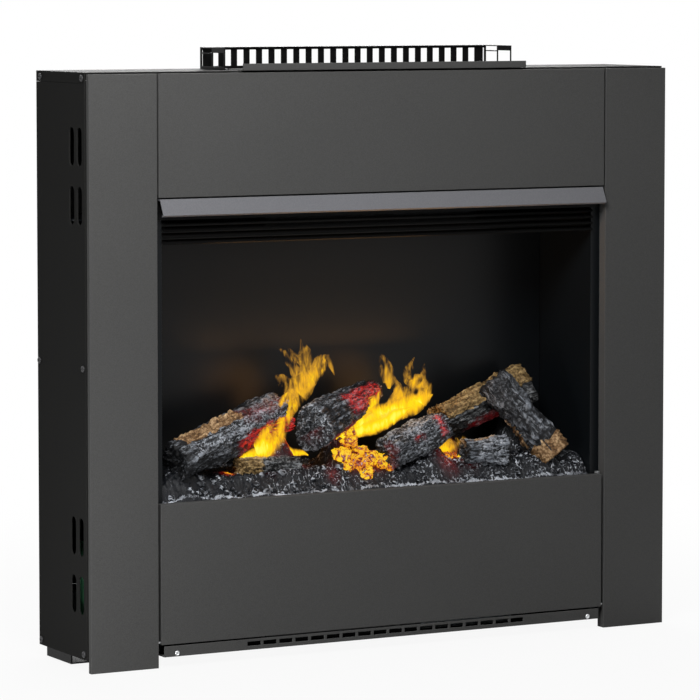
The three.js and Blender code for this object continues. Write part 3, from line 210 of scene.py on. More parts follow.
def plastic(name, colour, roughness, texture=2200, depth=0.00005):
    """Moulded plastic with a fine spark-eroded grain."""
    f = Finish(name)
    grain = f.noise(texture, 2.0)
    cloud = f.noise(30, 2.0)
    base = f.blend(f.rise(grain, 0.35, 0.7), scaled(colour, 0.85), scaled(colour, 1.2))
    base = f.blend(f.times(f.rise(cloud, 0.3, 0.7), 0.15), base, scaled(colour, 1.5))
    rough = f.plus(f.times(grain, 0.15), roughness - 0.07)
    normal, _ = f.soft_edges(0.0005)
    f.principled(Base_Color=base, Roughness=rough, IOR=1.46, Normal=f.bump(grain, depth, normal))
    return f.material


def clear_plastic(name):
    """Milky blow-moulded tank wall."""
    f = Finish(name)
    cloud = f.noise(60, 3.0)
    base = f.ramp(cloud, (0.3, (0.46, 0.54, 0.58)), (0.7, (0.62, 0.68, 0.70)))
    rough = f.plus(f.times(cloud, 0.15), 0.18)
    normal, _ = f.soft_edges(0.001)
    f.principled(Base_Color=base, Roughness=rough, IOR=1.49, Transmission_Weight=0.45,
                 Normal=f.bump(f.noise(250, 2.0), 0.0001, normal))
    return f.material


def lamp_glass(name):
    f = Finish(name)
    cloud = f.noise(400, 2.0)
    base = f.ramp(cloud, (0.3, (0.85, 0.72, 0.5)), (0.7, (0.95, 0.88, 0.72)))
    f.principled(Base_Color=base, Roughness=f.plus(f.times(cloud, 0.1), 0.08), Transmission_Weight=0.5,
                 Emission_Color=(1.0, 0.55, 0.18, 1.0), Emission_Strength=0.8)
    return f.material


def circuit_board(name):
    """Green board with paler copper tracks under the mask."""
    f = Finish(name)
    tracks = f.node("ShaderNodeTexBrick", {
        "Vector": f.stretched((90, 90, 140)), "Scale": 1.0, "Mortar Size": 0.06, "Mortar Smooth": 0.2,
        "Color1": (0.02, 0.10, 0.05, 1), "Color2": (0.025, 0.13, 0.06, 1), "Mortar": (0.07, 0.24, 0.12, 1),
    }).outputs["Color"]
    cloud = f.noise(900, 2.0)
    base = f.blend(f.times(cloud, 0.3), tracks, (0.015, 0.06, 0.035))
    f.principled(Base_Color=base, Roughness=f.plus(f.times(cloud, 0.2), 0.3), IOR=1.5,
                 Normal=f.bump(cloud, 0.00008))
    return f.material


def winding(name):
    """Lacquered copper windings on a dark core."""
    f = Finish(name)
    turns = f.node("ShaderNodeTexWave", {"Vector": f.place, "Scale": 520.0, "Distortion": 1.2, "Detail": 1.0},
                   bands_direction="Z").outputs["Fac"]
    base = f.ramp(turns, (0.2, (0.10, 0.030, 0.012)), (0.8, (0.42, 0.16, 0.06)))
    f.principled(Base_Color=base, Roughness=f.plus(f.times(turns, -0.15), 0.42), Metallic=0.7,
                 Normal=f.bump(turns, 0.0003))
    return f.material


WOOD_HEAT = ((0.0, (0.0, 0.0, 0.0)), (0.22, (0.05, 0.001, 0.002)), (0.50, (0.30, 0.006, 0.008)),
             (0.80, (0.62, 0.022, 0.012)), (1.0, (0.95, 0.16, 0.02)))
COAL_HEAT = ((0.0, (0.0, 0.0, 0.0)), (0.20, (0.09, 0.002, 0.002)), (0.42, (0.40, 0.045, 0.005)),
             (0.62, (0.82, 0.30, 0.012)), (0.90, (1.0, 0.66, 0.02)))


def charred(name, dark, pale, tan_dark, tan_pale, ash):
    """Burnt wood. The mesh says how much each point is bark, ash, paler grain or glow."""
    f = Finish(name)
    grain_place = f.node("ShaderNodeAttribute", attribute_name="grain").outputs["Vector"]
    fine = f.noise(400, 5.0, 0.62)
    coarse = f.noise(95, 4.0, 0.6, distortion=0.5)
    streak = f.noise(290, 4.0, 0.62, vector=grain_place, distortion=0.5)
    relief = f.attribute("relief")
    threads = f.rise(f.math("ABSOLUTE", f.math("SUBTRACT", streak, 0.5)), 0.045, 0.004)
    tone = f.plus(f.times(f.attribute("tone"), 0.34), f.times(relief, 0.85))
    tone = f.plus(tone, f.times(f.math("SUBTRACT", streak, 0.5), 1.1))
    tone = f.plus(tone, f.times(f.math("SUBTRACT", fine, 0.5), 0.65))
    char = f.ramp(tone, (0.30, scaled(dark, 0.4)), (0.50, dark), (0.68, scaled(pale, 0.32)),
                  (0.95, scaled(pale, 1.35)))
    thread_share = f.times(threads, f.rise(f.plus(coarse, f.times(relief, 0.25)), 0.50, 0.72))
    char = f.blend(f.times(thread_share, 0.55), char, scaled(ash, 0.7))
    bark_tone = f.plus(f.times(streak, 0.35), f.plus(f.times(fine, 0.55), f.times(relief, 0.22)))
    bark = f.ramp(bark_tone, (0.38, scaled(tan_dark, 0.2)), (0.49, tan_dark), (0.67, tan_pale))
    bark_share = f.rise(f.plus(f.attribute("bark"), f.times(f.math("SUBTRACT", coarse, 0.5), 0.9)), 0.4, 0.6)
    base = f.blend(bark_share, char, bark)
    ash_share = f.times(f.attribute("ash"), f.rise(f.plus(fine, f.times(streak, 0.5)), 0.70, 0.90))
    base = f.blend(ash_share, base, ash)
    specks = f.rise(f.plus(f.noise(260, 5.0, 0.7), f.times(relief, 0.10)), 0.40, 0.72)
    heat = f.times(f.attribute("glow"), f.plus(f.times(specks, 0.80), 0.20))
    base = f.blend(f.times(heat, 0.7), base, (0.06, 0.006, 0.006))
    normal = f.bump(f.plus(f.times(fine, 0.5), streak), 0.0011)
    f.principled(Base_Color=base, Roughness=f.plus(f.times(fine, 0.3), 0.42), IOR=1.3,
                 Emission_Color=f.ramp(heat, *WOOD_HEAT), Emission_Strength=0.9, Normal=normal)
    return f.material


def embers(name):
    """Glossy black moulded embers with silvery crests and a glow where the mesh says so."""
    f = Finish(name)
    fine = f.noise(900, 4.0, 0.65)
    coarse = f.noise(75, 3.0)
    # On the ember bed the ash attribute also carries the painted front-edge highlight and the painted shade on the
    # left.
    crest = f.rise(f.plus(f.attribute("ash"), f.times(f.math("SUBTRACT", fine, 0.5), 1.3)), 0.36, 0.62)
    black = f.ramp(fine, (0.42, (0.0025, 0.003, 0.004)), (0.78, (0.018, 0.020, 0.026)))
    base = f.blend(f.times(crest, f.plus(f.times(f.rise(coarse, 0.35, 0.60), 0.8), 0.2)), black, (0.50, 0.53, 0.58))
    veins = f.rise(f.noise(210, 4.0, 0.65, distortion=1.0), 0.36, 0.58)
    heat = f.times(f.attribute("glow"), f.plus(f.times(veins, 0.78), 0.22))
    base = f.blend(f.rise(heat, 0.1, 0.5), base, (0.03, 0.004, 0.003))
    f.principled(Base_Color=base, Roughness=f.plus(f.times(fine, 0.3), 0.28), IOR=1.3,
                 Emission_Color=f.ramp(heat, *COAL_HEAT), Emission_Strength=0.95,
                 Normal=f.bump(fine, 0.0006))
    return f.material


def flame(name):
    """Lit mist: yellow and dense where it is hot, thin orange wisps at the edges and tips."""
    f = Finish(name)
    across = f.attribute("across")
    height = f.attribute("level")
    heat = f.attribute("hotness")
    streaks = f.noise(120, 3.0, 0.6, vector=f.stretched((1.0, 1.0, 0.30)), distortion=1.4)
    wisps = f.noise(42, 2.0, 0.5, vector=f.stretched((1.0, 1.0, 0.55)), distortion=1.8)
    body = f.math("SUBTRACT", 1.0, f.times(across, across))
    rough = f.plus(f.times(f.math("SUBTRACT", streaks, 0.5), 2.3), f.times(f.math("SUBTRACT", wisps, 0.5), 2.3))
    loose = f.math("SUBTRACT", 1.25, f.times(heat, 0.68))
    density = f.plus(f.times(body, f.plus(f.times(heat, 0.85), 0.22)), f.times(rough, loose))
    density = f.math("SUBTRACT", density, f.times(f.math("POWER", height, 3.0), 0.10))
    cover = f.times(f.rise(density, 0.02, 1.00), f.plus(f.times(heat, 0.45), 0.55))
    warmth = f.plus(f.times(density, 0.50), f.times(heat, 0.37))
    colour = f.ramp(warmth, (0.08, (0.20, 0.075, 0.012)), (0.26, (0.42, 0.20, 0.030)),
                    (0.44, (0.62, 0.31, 0.030)), (0.62, (0.94, 0.47, 0.014)), (0.80, (1.0, 0.72, 0.008)),
                    (0.97, (1.0, 0.90, 0.090)))
    glow = f.node("ShaderNodeEmission", {"Color": colour, "Strength": 1.10}).outputs[0]
    clear = f.node("ShaderNodeBsdfTransparent").outputs[0]
    mixed = f.node("ShaderNodeMixShader", {0: cover, 1: clear, 2: glow}).outputs[0]
    f.tree.links.new(mixed, f.output.inputs["Surface"])
    return f.material


FINISHES = {
    "front_paint": paint("front_paint", (0.066, 0.066, 0.065), 0.55, 1.08),
    # side_paint: the same paint as front_paint, made darker as painted shade on the side panels.
    "side_paint": paint("side_paint", (0.0155, 0.0155, 0.015), 0.50, 1.035),
    # hood_paint: the same paint as front_paint, made lighter as painted light on the hood's upward face.
    "hood_paint": paint("hood_paint", (0.138, 0.139, 0.149), 0.42, 1.15),
    "black_paint": paint("black_paint", (0.0045, 0.0045, 0.0045), 0.26, 1.13),
    "firebox_paint": paint("firebox_paint", (0.0040, 0.0050, 0.0060), 0.34, 1.235, edge=0.2),
    "steel": zinc("steel", (0.56, 0.57, 0.58), 0.34, (0.05, 1, 1)),
    "black_plastic": plastic("black_plastic", (0.014, 0.014, 0.015), 0.42),
    "clear_plastic": clear_plastic("clear_plastic"),
    "ember": embers("ember"),
    "charred_wood": charred("charred_wood", (0.007, 0.0075, 0.009), (0.16, 0.175, 0.20),
                            (0.16, 0.085, 0.035), (0.62, 0.42, 0.23), (0.50, 0.53, 0.58)),
    "bark": charred("bark", (0.008, 0.008, 0.008), (0.13, 0.14, 0.15),
                    (0.13, 0.080, 0.030), (0.50, 0.35, 0.16), (0.46, 0.47, 0.48)),
    "flame": flame("flame"),
    "lamp_glass": lamp_glass("lamp_glass"),
    "board": circuit_board("board"),
    "copper": winding("copper"),
}

for part in frame["record"]["subparts"]:
    data = frame["nodes"][part["node"]].data
    data.materials.clear()
    data.materials.append(FINISHES[part["material_slot"]])

# ---------------------------------------------------------------- mesh helpers


def make_piece(name, mesh, slot, body, smooth=True):
    """Puts a mesh into the scene as a piece that rides on a body."""
    mesh.materials.append(FINISHES[slot])
    if smooth:
        mesh.polygons.foreach_set("use_smooth", [True] * len(mesh.polygons))
    made = bpy.data.objects.new(name, mesh)
    bpy.context.scene.collection.objects.link(made)
    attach(made, body)
    return made


def mesh_from(name, points, faces, attributes=None):
    mesh = bpy.data.meshes.new(name)
    mesh.from_pydata(points, [], faces)
    for key, values in (attributes or {}).items():
        mesh.attributes.new(key, "FLOAT", "POINT").data.foreach_set("value", values)
    mesh.update()
    return mesh


# ---------------------------------------------------------------- logs

# Each feature is (kind, range along the log, range of the angle round it in degrees, amount, lift in mm).
# Angle 90 is on top and 180 faces the front, but on the leaning log 0 faces the front.
LOGS = [
    {
        "name": "log_rear_right", "slot": "bark", "lobes": 3, "seed": 1, "squash": 0.95,
        "from": (0.41, 0.58, 2.9), "to": (0.85, 0.71, 4.55), "radii": (1.0, 1.05),
        "features": [
            ("bark", (-0.1, 1.1), (20, 158), 1.0, 1.2),
            ("tone", (-0.1, 1.1), (158, 205), 0.8, 0.2),
            ("glow", (0.2, 0.75), (205, 250), 0.30, -1.0),
        ],
    },
    {
        "name": "log_left", "slot": "charred_wood", "lobes": 4, "seed": 2, "squash": 0.98,
        "from": (-0.91, 0.18, 1.95), "to": (-0.37, 0.48, 4.0), "radii": (1.0, 1.05),
        "features": [
            ("bark", (0.06, 0.62), (82, 128), 0.9, 1.4),
            ("tone", (0.02, 1.0), (126, 180), 0.9, 2.6),
            ("ash", (0.05, 0.9), (128, 182), 0.9, 0.0),
            ("tone", (0.0, 0.55), (198, 250), 0.6, 1.2),
            ("glow", (0.52, 1.05), (176, 256), 0.95, -1.2),
            ("glow", (0.60, 1.0), (95, 150), 0.35, 0.0),
            ("ash", (0.72, 1.05), (70, 190), 0.5, 0.0),
        ],
    },
    {
        "name": "log_middle", "slot": "charred_wood", "lobes": 3, "seed": 4, "squash": 0.97,
        "from": (-0.31, 0.10, 3.15), "to": (0.08, 0.63, 4.65), "radii": (1.15, 0.80),
        "features": [
            ("tone", (0.0, 0.8), (60, 250), 0.75, 0.6),
            ("glow", (0.48, 0.98), (95, 185), 0.85, -0.6),
            ("glow", (-0.2, -0.06), (150, 330), 0.30, -0.6),
            ("glow", (0.1, 0.6), (205, 265), 0.55, -0.4),
            ("ash", (-0.2, 0.08), (0, 360), 1.0, 0.4),
        ],
    },
    {
        "name": "log_short", "slot": "charred_wood", "lobes": 4, "seed": 3, "squash": 1.0,
        "from": (0.06, 0.19, 1.65), "to": (0.36, 0.35, 2.85), "radii": (0.85, 0.80),
        "features": [
            ("tone", (0.05, 0.92), (60, 250), 0.75, 0.8),
            ("ash", (-0.1, 1.05), (40, 260), 0.8, 0.0),
            ("glow", (0.83, 0.92), (95, 205), 1.0, -0.8),
            ("glow", (0.42, 0.50), (150, 176), 1.1, -1.2),
            ("glow", (-0.3, 0.02), (100, 260), 0.35, -0.3),
        ],
    },
    {
        "name": "log_leaning", "slot": "charred_wood", "lobes": 2, "seed": 5, "squash": 1.9,
        "from": (0.865, 0.15, 1.05), "to": (0.625, 0.42, 5.05), "radii": (0.45, 0.45),
        "features": [
            ("bark", (-0.3, 0.20), (0, 360), 1.2, -0.2),
            ("tone", (0.22, 0.62), (0, 360), 0.60, 0.3),
            ("tone", (0.62, 1.2), (0, 360), 0.15, 1.3),
            ("ash", (0.60, 1.1), (0, 360), 0.15, 0.0),
            ("bark", (0.24, 0.62), (238, 292), 0.6, 0.2),
        ],
        "knot": (0.33, 40, 0.0065), "sawn": 0.2, "rough": 0.6,
    },
    {
        "name": "chunk_right", "slot": "charred_wood", "lobes": 3, "seed": 6, "squash": 0.9,
        "from": (0.44, 0.24, 1.45), "to": (0.63, 0.26, 1.3), "radii": (0.70, 0.90),
        "features": [
            ("tone", (-0.2, 1.2), (60, 260), 1.25, 0.5),
            ("ash", (0.25, 1.0), (110, 250), 1.0, 0.6),
            ("bark", (-0.2, 0.8), (60, 112), 0.5, 0.8),
        ],
    },
    {
        "name": "chunk_left", "slot": "bark", "lobes": 3, "seed": 7, "squash": 0.85,
        "from": (-0.60, 0.30, 1.4), "to": (-0.33, 0.30, 1.25), "radii": (0.55, 0.55),
        "features": [
            ("bark", (-0.2, 0.34), (0, 360), 0.9, 0.8),
            ("tone", (0.30, 1.2), (0, 360), 0.8, 0.0),
            ("ash", (0.30, 1.2), (90, 240), 0.5, 0.0),
        ],
    },
]


def log_surface(log, t, angle, length):
    """How far the log's skin stands out at one place, and what the skin is like there."""
    seed = log["seed"] * 7.3
    turn = math.radians(angle)
    reach = LOG_RADIUS
    around = Vector((math.cos(turn) * reach, math.sin(turn) * reach, 0.0))
    spot = around + Vector((seed, 0.0, t * length))
    fibre_spot = Vector((around.x * 300, around.y * 300 + seed, t * length * 42))
    fibre = noise.fractal(fibre_spot, 0.7, 2.1, 4)
    lumps = noise.fractal(spot * 52, 0.9, 2.0, 3)
    jag = noise.noise(spot * 130)
    split = noise.fractal(Vector((around.x * 150, around.y * 150 - seed, t * length * 30)), 0.8, 2.0, 3)
    fissure = 1 - smoothstep(0.0, 0.16, abs(split))
    (near, next_near, *_), _ = noise.voronoi(Vector((spot.x, spot.y, spot.z * 0.55)) * 140)
    crack = smoothstep(0.0, 0.20, next_near - near) * (1 - 0.8 * fissure)
    lift = 0.0015 * fibre + 0.0026 * lumps - 0.0012 * (1 - crack) - 0.0014 * fissure
    lift *= log.get("rough", 1.0) * (0.35 if t < log.get("sawn", -1.0) else 1.0)
    shares = {"bark": 0.0, "ash": 0.0, "tone": 0.25, "glow": 0.0}
    for kind, (t_low, t_high), (a_low, a_high), amount, proud in log["features"]:
        soft = 3.0 if kind == "glow" else 1.0
        here = (band(t + 0.045 * jag, t_low, t_high, 0.02 * soft)
                * band(angle + 11 * jag, a_low, a_high, 3.5 * soft))
        shares[kind] = max(shares[kind], amount * here)
        lift += proud * 0.001 * here
        if kind == "bark":
            lift += 0.0013 * here * noise.fractal(spot * 420, 0.6, 2.0, 3)
    if "knot" in log:
        knot_t, knot_angle, size = log["knot"]
        away = math.hypot((t - knot_t) * length, math.radians(angle - knot_angle) * reach) / size
        lift += 0.0016 * (band(away, 0.45, 0.95, 0.12) - band(away, -1, 0.35, 0.1))
        shares["ash"] = max(shares["ash"], 0.9 * band(away, 0.35, 1.0, 0.1))
        shares["tone"] = max(shares["tone"], band(away, -1, 1.0, 0.1))
    shares["ash"] *= mix(0.35, 1.0, 1 - crack)
    relief = min(max(0.45 + 0.50 * fibre + 0.25 * lumps, 0.0), 1.0) * mix(0.25, 1.0, crack)
    return lift, relief, shares


def build_log(log, spacing):
    start, end = on_bed(*log["from"]), on_bed(*log["to"])
    length = (end - start).length
    along = (end - start).normalized()
    across = Vector((0, 0, 1)).cross(along).normalized()
    up = along.cross(across)
    widest = max(log["radii"]) * LOG_RADIUS
    rings = round(length / spacing)
    sides = round(2 * math.pi * widest / spacing)
    cap_rings = max(round(widest / spacing / 1.4), 6)
    seed = log["seed"]
    points = []
    fields = {"bark": [], "ash": [], "tone": [], "glow": [], "relief": []}
    grain = []

    def add(t, shrink, angle_step):
        angle = 360.0 * angle_step / sides
        turn = math.radians(angle)
        ridges = 0.09 * math.sin(log["lobes"] * turn + seed + 2 * t)
        swell = 1 + ridges + 0.07 * math.sin(5 * t + 2 * turn + seed)
        base = mix(*log["radii"], t) * LOG_RADIUS * swell
        place_t = t - (1 - shrink) * 0.1 if t < 0.5 else t + (1 - shrink) * 0.1
        lift, relief, shares = log_surface(log, place_t, angle, length)
        centre = start.lerp(end, t)
        radius = (base + lift) * shrink
        point = centre + across * radius * math.cos(turn) + up * radius * log["squash"] * math.sin(turn)
        if shrink < 1 or t in (0.0, 1.0):
            spot = point * 210
            broken = 0.0034 * noise.fractal(spot, 0.7, 2.0, 3) + 0.0030 * noise.noise(point * 70)
            (near, next_near, *_), _ = noise.voronoi(point * 135)
            split = 1 - smoothstep(0.0, 0.15, next_near - near)
            broken += 0.0010 * split
            sink = -0.0026 * (1 - shrink)
            outward = -1 if t == 0.0 else 1
            if t < log.get("sawn", -1.0):
                broken *= 0.25
            point = point + along * outward * (broken + sink)
            shares["ash"] *= mix(0.15, 1.0, split)
            shares["tone"] *= 0.3
            relief = 0.10 + 0.5 * split
        points.append(point)
        grain.append((math.cos(turn) * radius, math.sin(turn) * radius, t * length * 0.15 + seed * 0.1))
        for key, value in shares.items():
            fields[key].append(value)
        fields["relief"].append(relief)

    shells = [(0.0, k / cap_rings) for k in range(1, cap_rings)]
    shells += [(i / rings, 1.0) for i in range(rings + 1)]
    shells += [(1.0, 1 - k / cap_rings) for k in range(1, cap_rings)]
    add(0.0, 0.0, 0)
    for t, shrink in shells:
        for step in range(sides):
            add(t, shrink, step)
    add(1.0, 0.0, 0)
    faces = [(0, 1 + (j + 1) % sides, 1 + j) for j in range(sides)]
    for i in range(len(shells) - 1):
        low, high = 1 + i * sides, 1 + (i + 1) * sides
        for j in range(sides):
            k = (j + 1) % sides
            faces.append((low + j, low + k, high + k, high + j))
    last = len(points) - 1
    tail = last - sides
    faces += [(last, tail + j, tail + (j + 1) % sides) for j in range(sides)]
    mesh = mesh_from(log["name"] + "_burnt", points, faces, fields)
    mesh.attributes.new("grain", "FLOAT_VECTOR", "POINT").data.foreach_set(
        "vector", [value for row in grain for value in row])
    made = make_piece(log["name"] + "_burnt", mesh, log["slot"], "fuel_bed")
    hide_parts(log["name"])


LOG_SPACING = 0.00115
for log in LOGS:
    build_log(log, LOG_SPACING)

# ---------------------------------------------------------------- ember bed

BED_RISE = 0.020
BED_RAMP = 0.024
BED_RELIEF = 0.0016
PEBBLE_PITCH = 0.0046
EMBER_FRONT = EMBER_LOW.y
EMBER_FRONT_Z = HEARTH_Z - 0.001
HEAPS = [  # place on the bed, then height and radius in log radii
    ((-0.88, 0.20), 0.45, 0.80), ((-0.39, 0.46), 1.90, 0.90), ((-0.13, 0.40), 2.10, 0.85),
    ((0.30, 0.38), 1.25, 0.80), ((0.45, 0.60), 1.10, 0.80), ((0.79, 0.74), 2.50, 0.95),
]
MIST_SLOT_HALF_X = 0.110
MIST_SLOT_Y = (0.0374, 0.0494)
# Where the bed glows: x, y, radius and amount.
HOT_SPOTS = [
    (-0.160, -0.008, 0.007, 0.8), (-0.118, 0.002, 0.014, 0.9), (-0.085, 0.000, 0.012, 0.9),
    (-0.018, -0.014, 0.012, 0.9), (0.004, -0.018, 0.008, 0.9), (0.090, -0.024, 0.010, 0.32),
    (0.116, -0.020, 0.008, 0.34), (0.105, -0.002, 0.011, 0.8), (-0.050, -0.030, 0.006, 0.25),
]


def bed_height(x, y):
    climb = smoothstep(EMBER_FRONT, EMBER_FRONT + BED_RAMP, y) * BED_RISE
    lumps = math.sin(x / 0.011 + 2 * math.sin(y / 0.009)) * math.cos(y / 0.008 + math.sin(x / 0.017))
    best = 0.0
    for (across, back), rise, radius in HEAPS:
        heap = on_bed(across, back, 0)
        away = math.hypot(x - heap.x, y - heap.y) / (radius * LOG_RADIUS)
        best = max(best, rise * LOG_RADIUS * math.exp(-away * away))
    return EMBER_FRONT_Z + climb + BED_RELIEF * lumps + best


def heat_at(x, y):
    return max(amount * math.exp(-((x - hx) ** 2 + (y - hy) ** 2) / radius ** 2)
               for hx, hy, radius, amount in HOT_SPOTS)


def grid_lines(low, high, step, *through):
    """Rising places from low to high that pass through the given ones."""
    stops = sorted([low, *through, high])
    lines = []
    for a, b in zip(stops, stops[1:]):
        count = max(round((b - a) / step), 1)
        lines += [a + (b - a) * i / count for i in range(count)]
    return lines + [high]


def build_bed(step):
    rng = random.Random(11)
    pebbles = []
    for i in range(int(2 * BED_X / PEBBLE_PITCH) + 2):
        for j in range(int((EMBER_HIGH.y - EMBER_FRONT) / PEBBLE_PITCH) + 2):
            pebbles.append((-BED_X + (i + rng.uniform(-0.45, 0.45)) * PEBBLE_PITCH,
                            EMBER_FRONT + (j + rng.uniform(-0.45, 0.45)) * PEBBLE_PITCH, rng.uniform(-1, 1)))
    tree = kdtree.KDTree(len(pebbles))
    for index, (x, y, _) in enumerate(pebbles):
        tree.insert((x, y, 0), index)
    tree.balance()
    xs = grid_lines(EMBER_LOW.x, EMBER_HIGH.x, step, -MIST_SLOT_HALF_X, MIST_SLOT_HALF_X)
    ys = grid_lines(EMBER_LOW.y, EMBER_HIGH.y, step, *MIST_SLOT_Y)
    columns, rows = len(xs), len(ys)
    top, ash, glow = [], [], []
    for y in ys:
        for x in xs:
            warp = 0.0014 * noise.noise(Vector((x * 300, y * 300, 3.1)))
            (_, first, near), (_, _, next_near) = tree.find_n((x + warp, y - warp, 0), 2)
            edge = smoothstep(0.0, 0.42, (next_near - near) / PEBBLE_PITCH)
            rough = noise.fractal(Vector((x * 520, y * 520, 7.0)), 0.8, 2.0, 3)
            swell = pebbles[first][2]
            hollow = noise.fractal(Vector((x * 95, y * 95, 1.0)), 0.8, 2.0, 2)
            lift = 0.0012 * (1 - edge) + 0.0012 * swell * edge + 0.0009 * rough + 0.0020 * hollow
            top.append((x, y, min(bed_height(x, y) + lift, EMBER_HIGH.z + 0.001)))
            crest = 1 - smoothstep(0.0, 0.26, (next_near - near) / PEBBLE_PITCH + 0.10 * rough)
            # Painted highlight: a pale line along the bed's front edge, stored with the crests in the ash attribute.
            painted_front_highlight = band(y, EMBER_FRONT + 0.0008, EMBER_FRONT + 0.0050, 0.0008)
            # Painted shade: the pale crests are dimmed towards the left, where the left column shades the bed.
            painted_left_shade = 1 - 0.45 * smoothstep(0.10, 0.20, -x)
            # Here the ash attribute holds the silvery crests, dimmed by painted shade on the left, plus the painted
            # highlight on the front edge.
            ash.append(painted_left_shade * crest * (0.58 + 0.3 * hollow) + 0.60 * painted_front_highlight * (0.70 + 0.30 * swell))
            glow.append(heat_at(x, y))
    low = [(x, y, EMBER_LOW.z) for y in ys for x in xs]
    upper = len(top)

    def solid(i, j):
        middle_x, middle_y = (xs[i] + xs[i + 1]) / 2, (ys[j] + ys[j + 1]) / 2
        inside_slot = abs(middle_x) < MIST_SLOT_HALF_X and MIST_SLOT_Y[0] < middle_y < MIST_SLOT_Y[1]
        return not inside_slot

    kept = {(i, j) for i in range(columns - 1) for j in range(rows - 1) if solid(i, j)}
    faces = []
    for i, j in sorted(kept):
        a, b = j * columns + i, j * columns + i + 1
        c, d = b + columns, a + columns
        faces.append((a, b, c, d))
        faces.append((upper + d, upper + c, upper + b, upper + a))
        for (di, dj), (p, q) in (((0, -1), (a, b)), ((1, 0), (b, c)), ((0, 1), (c, d)), ((-1, 0), (d, a))):
            if (i + di, j + dj) not in kept:
                faces.append((upper + p, upper + q, q, p))
    zeros = [0.0] * upper
    mesh = mesh_from("ember_field", top + low, faces, {"ash": ash + zeros, "glow": glow + zeros})
    bm = bmesh.new()
    bm.from_mesh(mesh)
    bmesh.ops.delete(bm, geom=[v for v in bm.verts if not v.link_faces], context="VERTS")
    bm.to_mesh(mesh)
    bm.free()
    made = make_piece("ember_field", mesh, "ember", "fuel_bed")
    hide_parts("ember_bed")


BED_STEP = 0.00092
build_bed(BED_STEP)


def lump_mesh(name, lumps, subdivisions, glow_of):
    """Many rough lumps in one mesh; each is (place, radius, seed)."""
    whole = bmesh.new()
    ash_layer = whole.verts.layers.float.new("ash")
    glow_layer = whole.verts.layers.float.new("glow")
    for place, radius, seed in lumps:
        turn = Matrix.Rotation(seed * 1.7, 4, "Z") @ Matrix.Rotation(seed * 0.9, 4, "X")
        made = bmesh.ops.create_icosphere(whole, subdivisions=subdivisions, radius=1.0)["verts"]
        for vert in made:
            direction = vert.co.normalized()
            shape = noise.fractal(direction * 1.6 + Vector((seed, 0, 0)), 0.8, 2.0, 3)
            (near, next_near, *_), _ = noise.voronoi(direction * 1.9 + Vector((0, seed, 0)))
            crest = 1 - smoothstep(0.0, 0.3, next_near - near)
            size = radius * (0.9 + 0.34 * shape + 0.08 * crest)
            stretched = Vector((direction.x * 1.25, direction.y, direction.z * 0.78))
            vert[ash_layer] = 0.75 * crest
            vert[glow_layer] = glow_of(place, direction)
            vert.co = place + turn.to_3x3() @ (stretched * size)
    mesh = bpy.data.meshes.new(name)
    whole.to_mesh(mesh)
    whole.free()
    return mesh


LOOSE_EMBERS = 330


def build_loose_embers():
    rng = random.Random(5)
    lumps = []
    for _ in range(LOOSE_EMBERS):
        x = rng.uniform(-BED_X + 0.008, BED_X - 0.008)
        share = rng.random() ** 1.7
        y = EMBER_FRONT + 0.006 + share * (BED_BACK - EMBER_FRONT - 0.016)
        if abs(x) < MIST_SLOT_HALF_X + 0.008 and MIST_SLOT_Y[0] - 0.008 < y < MIST_SLOT_Y[1] + 0.008:
            continue
        radius = rng.uniform(0.0018, 0.0042)
        lumps.append((Vector((x, y, bed_height(x, y) + radius * 0.15)), radius, rng.uniform(0, 40)))
    mesh = lump_mesh("loose_embers", lumps, 2, lambda place, _: 0.7 * heat_at(place.x, place.y))
    make_piece("loose_embers", mesh, "ember", "fuel_bed")


def build_glowing_coals():
    rng = random.Random(8)
    lumps = []
    for x, y, lift, radius in (
            (-0.036, -0.024, 0.004, 0.0085), (-0.026, -0.020, 0.011, 0.0080), (-0.018, -0.027, 0.003, 0.0090),
            (-0.004, -0.024, 0.005, 0.0085), (-0.010, -0.016, 0.012, 0.0075), (0.010, -0.024, 0.004, 0.0080),
            (0.016, -0.016, 0.010, 0.0070), (-0.031, -0.028, 0.000, 0.0075), (-0.011, -0.030, -0.001, 0.0075),
            (0.003, -0.018, 0.010, 0.0070), (-0.022, -0.012, 0.014, 0.0075), (0.018, -0.024, 0.001, 0.0060),
            (0.096, -0.014, 0.002, 0.0060), (0.116, -0.012, 0.002, 0.0055)):
        place = Vector((x, y, bed_height(x, y) + lift))
        lumps.append((place, radius, rng.uniform(0, 40)))
    mesh = lump_mesh("glowing_coals", lumps, 4, lambda place, up: 0.84 - 0.20 * up.z)
    make_piece("glowing_coals", mesh, "ember", "fuel_bed")


build_loose_embers()
build_glowing_coals()

# ---------------------------------------------------------------- flames

